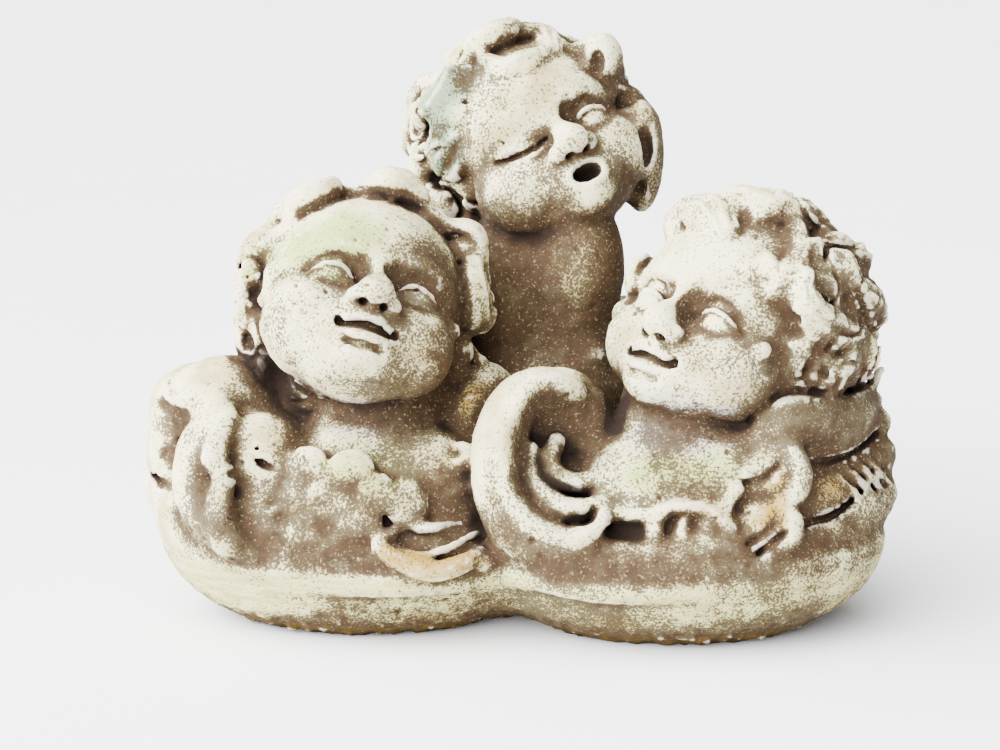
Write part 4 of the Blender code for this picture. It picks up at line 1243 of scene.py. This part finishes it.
def paint_layer(graph, where, finish, edge, hull):
    """The paint before it wears: cloudy cream, the streaked hull and the tints."""
    cream = graph.mix(graph.ramp(graph.noise(where, 40.0, 4.0), 0.42, 0.7),
                      shade(finish.cream, 1), shade(finish.cream, (0.62, 0.55, 0.45)))
    stretched = graph.add("ShaderNodeMapping", {"Vector": where, "Scale": (1.0, 1.0, 9.0)})
    streaks = graph.ramp(graph.noise(stretched, 38.0, 5.0, 0.65), 0.42, 0.62)
    streaked = graph.mix(streaks, shade(finish.hull, 1), shade(finish.hull, (0.62, 0.66, 0.6)))
    colour = graph.mix(graph.times(hull, 0.9), cream, streaked)
    for tint, cover in TINT_COVER.items():
        spot = graph.placed(edge, where, Mask=graph.mask(tint), Scale=90.0, Amount=0.9, Low=0.2, High=0.75)
        colour = graph.mix(graph.times(spot, cover), colour, shade(getattr(finish, tint), 1))
    return colour


def wear_and_shade(graph, where, hull):
    """How far the paint is worn and painted into shade, from 0 to 1: clouds and the masks by their weights,
    and less on the hull. The masks of the shaded side and of occlusion add painted shade.
    """
    cloudy = graph.math("SUBTRACT", graph.noise(where, 32.0, 4.0, 0.6), 0.5)
    worn_and_shaded = graph.times(cloudy, CLOUD_WEAR)
    for name, weight in WEAR_AND_SHADE.items():
        worn_and_shaded = graph.math("ADD", worn_and_shaded, graph.times(graph.mask(name), weight))
    return graph.math("SUBTRACT", worn_and_shaded, graph.times(hull, HULL_KEEPS), clamp=True)


def stone_material(finish):
    """Weathered cast stone: cream paint worn through to a brown ground, tints, fine dark grit and pores, with
    painted shade in recesses, gaps and on the right, lower sides, and painted highlights on edges and faces.
    """
    material = bpy.data.materials.new("worn_painted_stone")
    material.use_nodes = True
    tree = material.node_tree
    shader = tree.nodes["Principled BSDF"]
    graph = Graph(tree)
    where = graph.add("ShaderNodeTexCoord", out="Object")
    edge = mask_group("broken_edge", ("Mask", "Vector", "Scale", "Amount", "Low", "High"), broken_edge)
    speck = mask_group("stipple", ("Mask", "Vector", "Scale"), stipple)
    pore = mask_group("pores", ("Vector", "Scale", "Radius", "Share"), pores)
    crevice, recess, near_occlusion, height = map(graph.mask, ("crevice", "recess", "near_occlusion", "height"))
    hull = graph.placed(edge, where, Mask=graph.ramp(height, 44.0, 24.0), Scale=60.0, Amount=0.6, Low=0.3,
                        High=0.8)
    # The wear mask also carries painted shade from the shaded side and the occlusion masks, so the tan wash,
    # the brown ground and the grit show painted shade too.
    worn_and_shaded = wear_and_shade(graph, where, hull)
    tan = graph.placed(edge, where, Mask=worn_and_shaded, Scale=110.0, Amount=0.9, Low=0.1, High=0.75)
    wash = graph.placed(edge, where, Mask=worn_and_shaded, Scale=260.0, Amount=1.3, Low=0.4, High=1.15)
    light_ground = (*(1.5 * value + share for value, share in zip(finish.ground, (0.06, 0.03, 0.02))), 1)
    ground = graph.mix(graph.ramp(graph.noise(where, 150.0, 4.0), 0.38, 0.62), shade(finish.ground, 1),
                       light_ground)
    # Painted shade: the ground darkened in recesses and creases.
    crease_shade = graph.ramp(graph.math("ADD", recess, crevice), 0.35, 0.9)
    patches = graph.ramp(graph.noise(where, 26.0, 4.0, 0.6), 0.4, 0.66)
    # The grit is denser where wear and painted shade are strong.
    density = graph.math("ADD", graph.math("ADD", graph.times(worn_and_shaded, 0.75), graph.times(patches, 0.34)),
                         0.15)
    grit = graph.placed(speck, where, Mask=density, Scale=900.0)
    dust = graph.placed(speck, where, Mask=0.16, Scale=800.0)
    foot = graph.placed(speck, where, Mask=graph.ramp(height, 10.0, 1.0), Scale=620.0)
    # Painted highlight: pale white along raised edges.
    edges = graph.ramp(graph.times(crevice, -1.0), 0.03, 0.32)
    edge_highlight = graph.placed(edge, where, Mask=edges, Scale=520.0, Amount=1.6, Low=0.5, High=0.9)
    # Painted shade: near-black where the surface is occluded close by and along the near-black strokes.
    shade_places = graph.math("ADD", near_occlusion, graph.mask("painted_shade"))
    deep = graph.placed(edge, where, Mask=shade_places, Scale=160.0, Amount=0.6, Low=0.5, High=1.1)
    small, large = (graph.placed(pore, where, Scale=cells, Radius=radius, Share=share) for cells, radius,
                    share in PORES)
    hole = graph.math("MAXIMUM", small, large)
    # Each layer over the paint, from the lowest: its mask, how well it covers and its colour.
    layers = (
        (tan, 0.75, shade(finish.tan, 1)),
        (wash, 0.94, ground),
        (crease_shade, 0.75, shade(finish.ground, 0.3)),
        (grit, 0.88, shade(finish.ground, 0.35)),
        (dust, 0.32, DUST),
        (foot, 0.7, shade(finish.ochre, 0.35)),
        (edge_highlight, 0.5, EDGE_HIGHLIGHT_WHITE),
        (deep, 0.92, DEEP_SHADE),
        (hole, 0.85, PORE_SHADE),
    )
    colour = paint_layer(graph, where, finish, edge, hull)
    for mask, cover, over in layers:
        colour = graph.mix(graph.times(mask, cover), colour, over)
    tree.links.new(colour, shader.inputs["Base Color"])
    shader.inputs["Metallic"].default_value = 0.0
    shader.inputs["Specular IOR Level"].default_value = 0.12
    rough = graph.add("ShaderNodeMapRange", {"Value": wash, "To Min": 0.74, "To Max": 0.94})
    tree.links.new(rough, shader.inputs["Roughness"])
    fine, coarse = graph.noise(where, 1400.0, 3.0, 0.6), graph.noise(where, 420.0, 3.0)
    relief = graph.math("ADD", graph.times(fine, 0.3), graph.times(coarse, 0.6))
    relief = graph.math("SUBTRACT", relief, hole)
    relief = graph.math("SUBTRACT", relief, graph.times(grit, 0.25))
    bump = graph.add("ShaderNodeBump", {"Height": relief, "Strength": 0.6, "Distance": 0.0005})
    tree.links.new(bump, shader.inputs["Normal"])
    return material


def plain_material(name, colour, roughness):
    """Matt studio paint with a faint cloudiness."""
    material = bpy.data.materials.new(name)
    material.use_nodes = True
    graph = Graph(material.node_tree)
    shader = material.node_tree.nodes["Principled BSDF"]
    where = graph.add("ShaderNodeTexCoord", out="Object")
    darker = tuple(0.97 * value for value in colour)
    share = graph.ramp(graph.noise(where, 2.0), 0.3, 0.7)
    material.node_tree.links.new(graph.mix(share, (*colour, 1), (*darker, 1)), shader.inputs["Base Color"])
    shader.inputs["Roughness"].default_value = roughness
    return material


# The studio, in metres: middle of the view, key light, bright side of the sky, floor.
MIDDLE = (-0.0065, -0.010, 0.095)
KEY_AT = (-0.95, -0.6, 0.85)
KEY_SIZE = 0.7
KEY_COLOUR = (1.0, 0.985, 0.96)
SKY_COLOUR = (0.96, 0.97, 1.0, 1)
SKY_TOWARDS = (-0.75, -0.4, 0.6)
FLOOR_COLOUR = (0.86, 0.855, 0.85)
FLOOR_ROUGHNESS = 0.8
FLOOR_REACH = 14.0
SENSOR_WIDTH = 36.0


def floor_sheet():
    """A wide flat floor: two rows of points that share their height."""
    x, y = np.meshgrid((-FLOOR_REACH, FLOOR_REACH), (-FLOOR_REACH, FLOOR_REACH))
    points = np.stack([x.ravel(), y.ravel(), np.zeros(4)], 1)
    mesh = bpy.data.meshes.new("floor")
    mesh.from_pydata(points.tolist(), [], [(0, 1, 3, 2)])
    return mesh


def soft_light(name, at, aim, size, power, colour):
    """A square area light at one place, turned to another."""
    light = bpy.data.lights.new(name, "AREA")
    light.shape = "SQUARE"
    light.size = size
    light.energy = power
    light.color = colour
    lamp = bpy.data.objects.new(name, light)
    lamp.location = at
    lamp.rotation_euler = (Vector(aim) - Vector(at)).to_track_quat("-Z", "Y").to_euler()
    bpy.context.scene.collection.objects.link(lamp)


def studio_sky(dim, bright, towards):
    """A world of soft white light, dim all round and bright towards one side."""
    world = bpy.data.worlds.new("studio")
    world.use_nodes = True
    graph = Graph(world.node_tree)
    background = world.node_tree.nodes["Background"]
    background.inputs["Color"].default_value = SKY_COLOUR
    way = graph.add("ShaderNodeTexCoord", out="Generated")
    ways = {0: way, 1: Vector(towards).normalized()}
    cosine = graph.add("ShaderNodeVectorMath", ways, out="Value", operation="DOT_PRODUCT")
    glow = graph.ramp(cosine, 0.2, 1.0)
    strength = graph.math("ADD", graph.times(glow, bright - dim), dim)
    world.node_tree.links.new(strength, background.inputs["Strength"])
    return world


class CHERUB_OT_carve_group(bpy.types.Operator):
    """Carve the group, base, wings and three heads, as one casting"""

    bl_idname = "cherub.carve_group"
    bl_label = "Carve the group"

    def execute(self, context):
        piece = carve(context.scene.cherub_sizes)
        piece.data.materials.append(stone_material(context.scene.cherub_finish))
        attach(piece, "root")
        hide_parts("cherub_group")
        return {"FINISHED"}


class CHERUB_OT_set_stage(bpy.types.Operator):
    """Set the pale floor, the key light, the sky and the camera"""

    bl_idname = "cherub.set_stage"
    bl_label = "Set the stage"

    def execute(self, context):
        stage = context.scene.cherub_stage
        floor = link("floor", floor_sheet())
        floor.data.materials.append(plain_material("pale_floor", FLOOR_COLOUR, FLOOR_ROUGHNESS))
        soft_light("key_light", KEY_AT, MIDDLE, KEY_SIZE, stage.key_power, KEY_COLOUR)
        context.scene.world = studio_sky(stage.sky_dim, stage.sky_bright, SKY_TOWARDS)
        camera = bpy.data.cameras.new("camera")
        camera.lens = stage.focal_length
        camera.sensor_width = SENSOR_WIDTH
        camera.clip_start = 0.01
        viewer = bpy.data.objects.new("camera", camera)
        back = Vector((0, -math.cos(stage.elevation), math.sin(stage.elevation)))
        viewer.location = Vector(MIDDLE) + stage.distance * back
        viewer.rotation_euler = (-back).to_track_quat("-Z", "Y").to_euler()
        context.scene.collection.objects.link(viewer)
        context.scene.camera = viewer
        return {"FINISHED"}


class CHERUB_PT_sidebar(bpy.types.Panel):
    """Sizes, colours and the two steps of the making"""

    bl_label = "Cherub head group"
    bl_idname = "CHERUB_PT_sidebar"
    bl_space_type = "VIEW_3D"
    bl_region_type = "UI"
    bl_category = "Cherubs"

    def draw(self, context):
        for group in (context.scene.cherub_sizes, context.scene.cherub_finish, context.scene.cherub_stage):
            box = self.layout.box()
            for name in type(group).__annotations__:
                box.prop(group, name)
        self.layout.operator(CHERUB_OT_carve_group.bl_idname)
        self.layout.operator(CHERUB_OT_set_stage.bl_idname)


CLASSES = (CherubSizes, CherubFinish, CherubStage, CHERUB_OT_carve_group, CHERUB_OT_set_stage,
           CHERUB_PT_sidebar)


def register():
    for made in CLASSES:
        bpy.utils.register_class(made)
    bpy.types.Scene.cherub_sizes = PointerProperty(type=CherubSizes)
    bpy.types.Scene.cherub_finish = PointerProperty(type=CherubFinish)
    bpy.types.Scene.cherub_stage = PointerProperty(type=CherubStage)


def unregister():
    del bpy.types.Scene.cherub_sizes
    del bpy.types.Scene.cherub_finish
    del bpy.types.Scene.cherub_stage
    for made in reversed(CLASSES):
        bpy.utils.unregister_class(made)


def main():
    """Makes the group and its stage."""
    register()
    bpy.ops.cherub.carve_group()
    bpy.ops.cherub.set_stage()


if __name__ == "__main__":
    main()
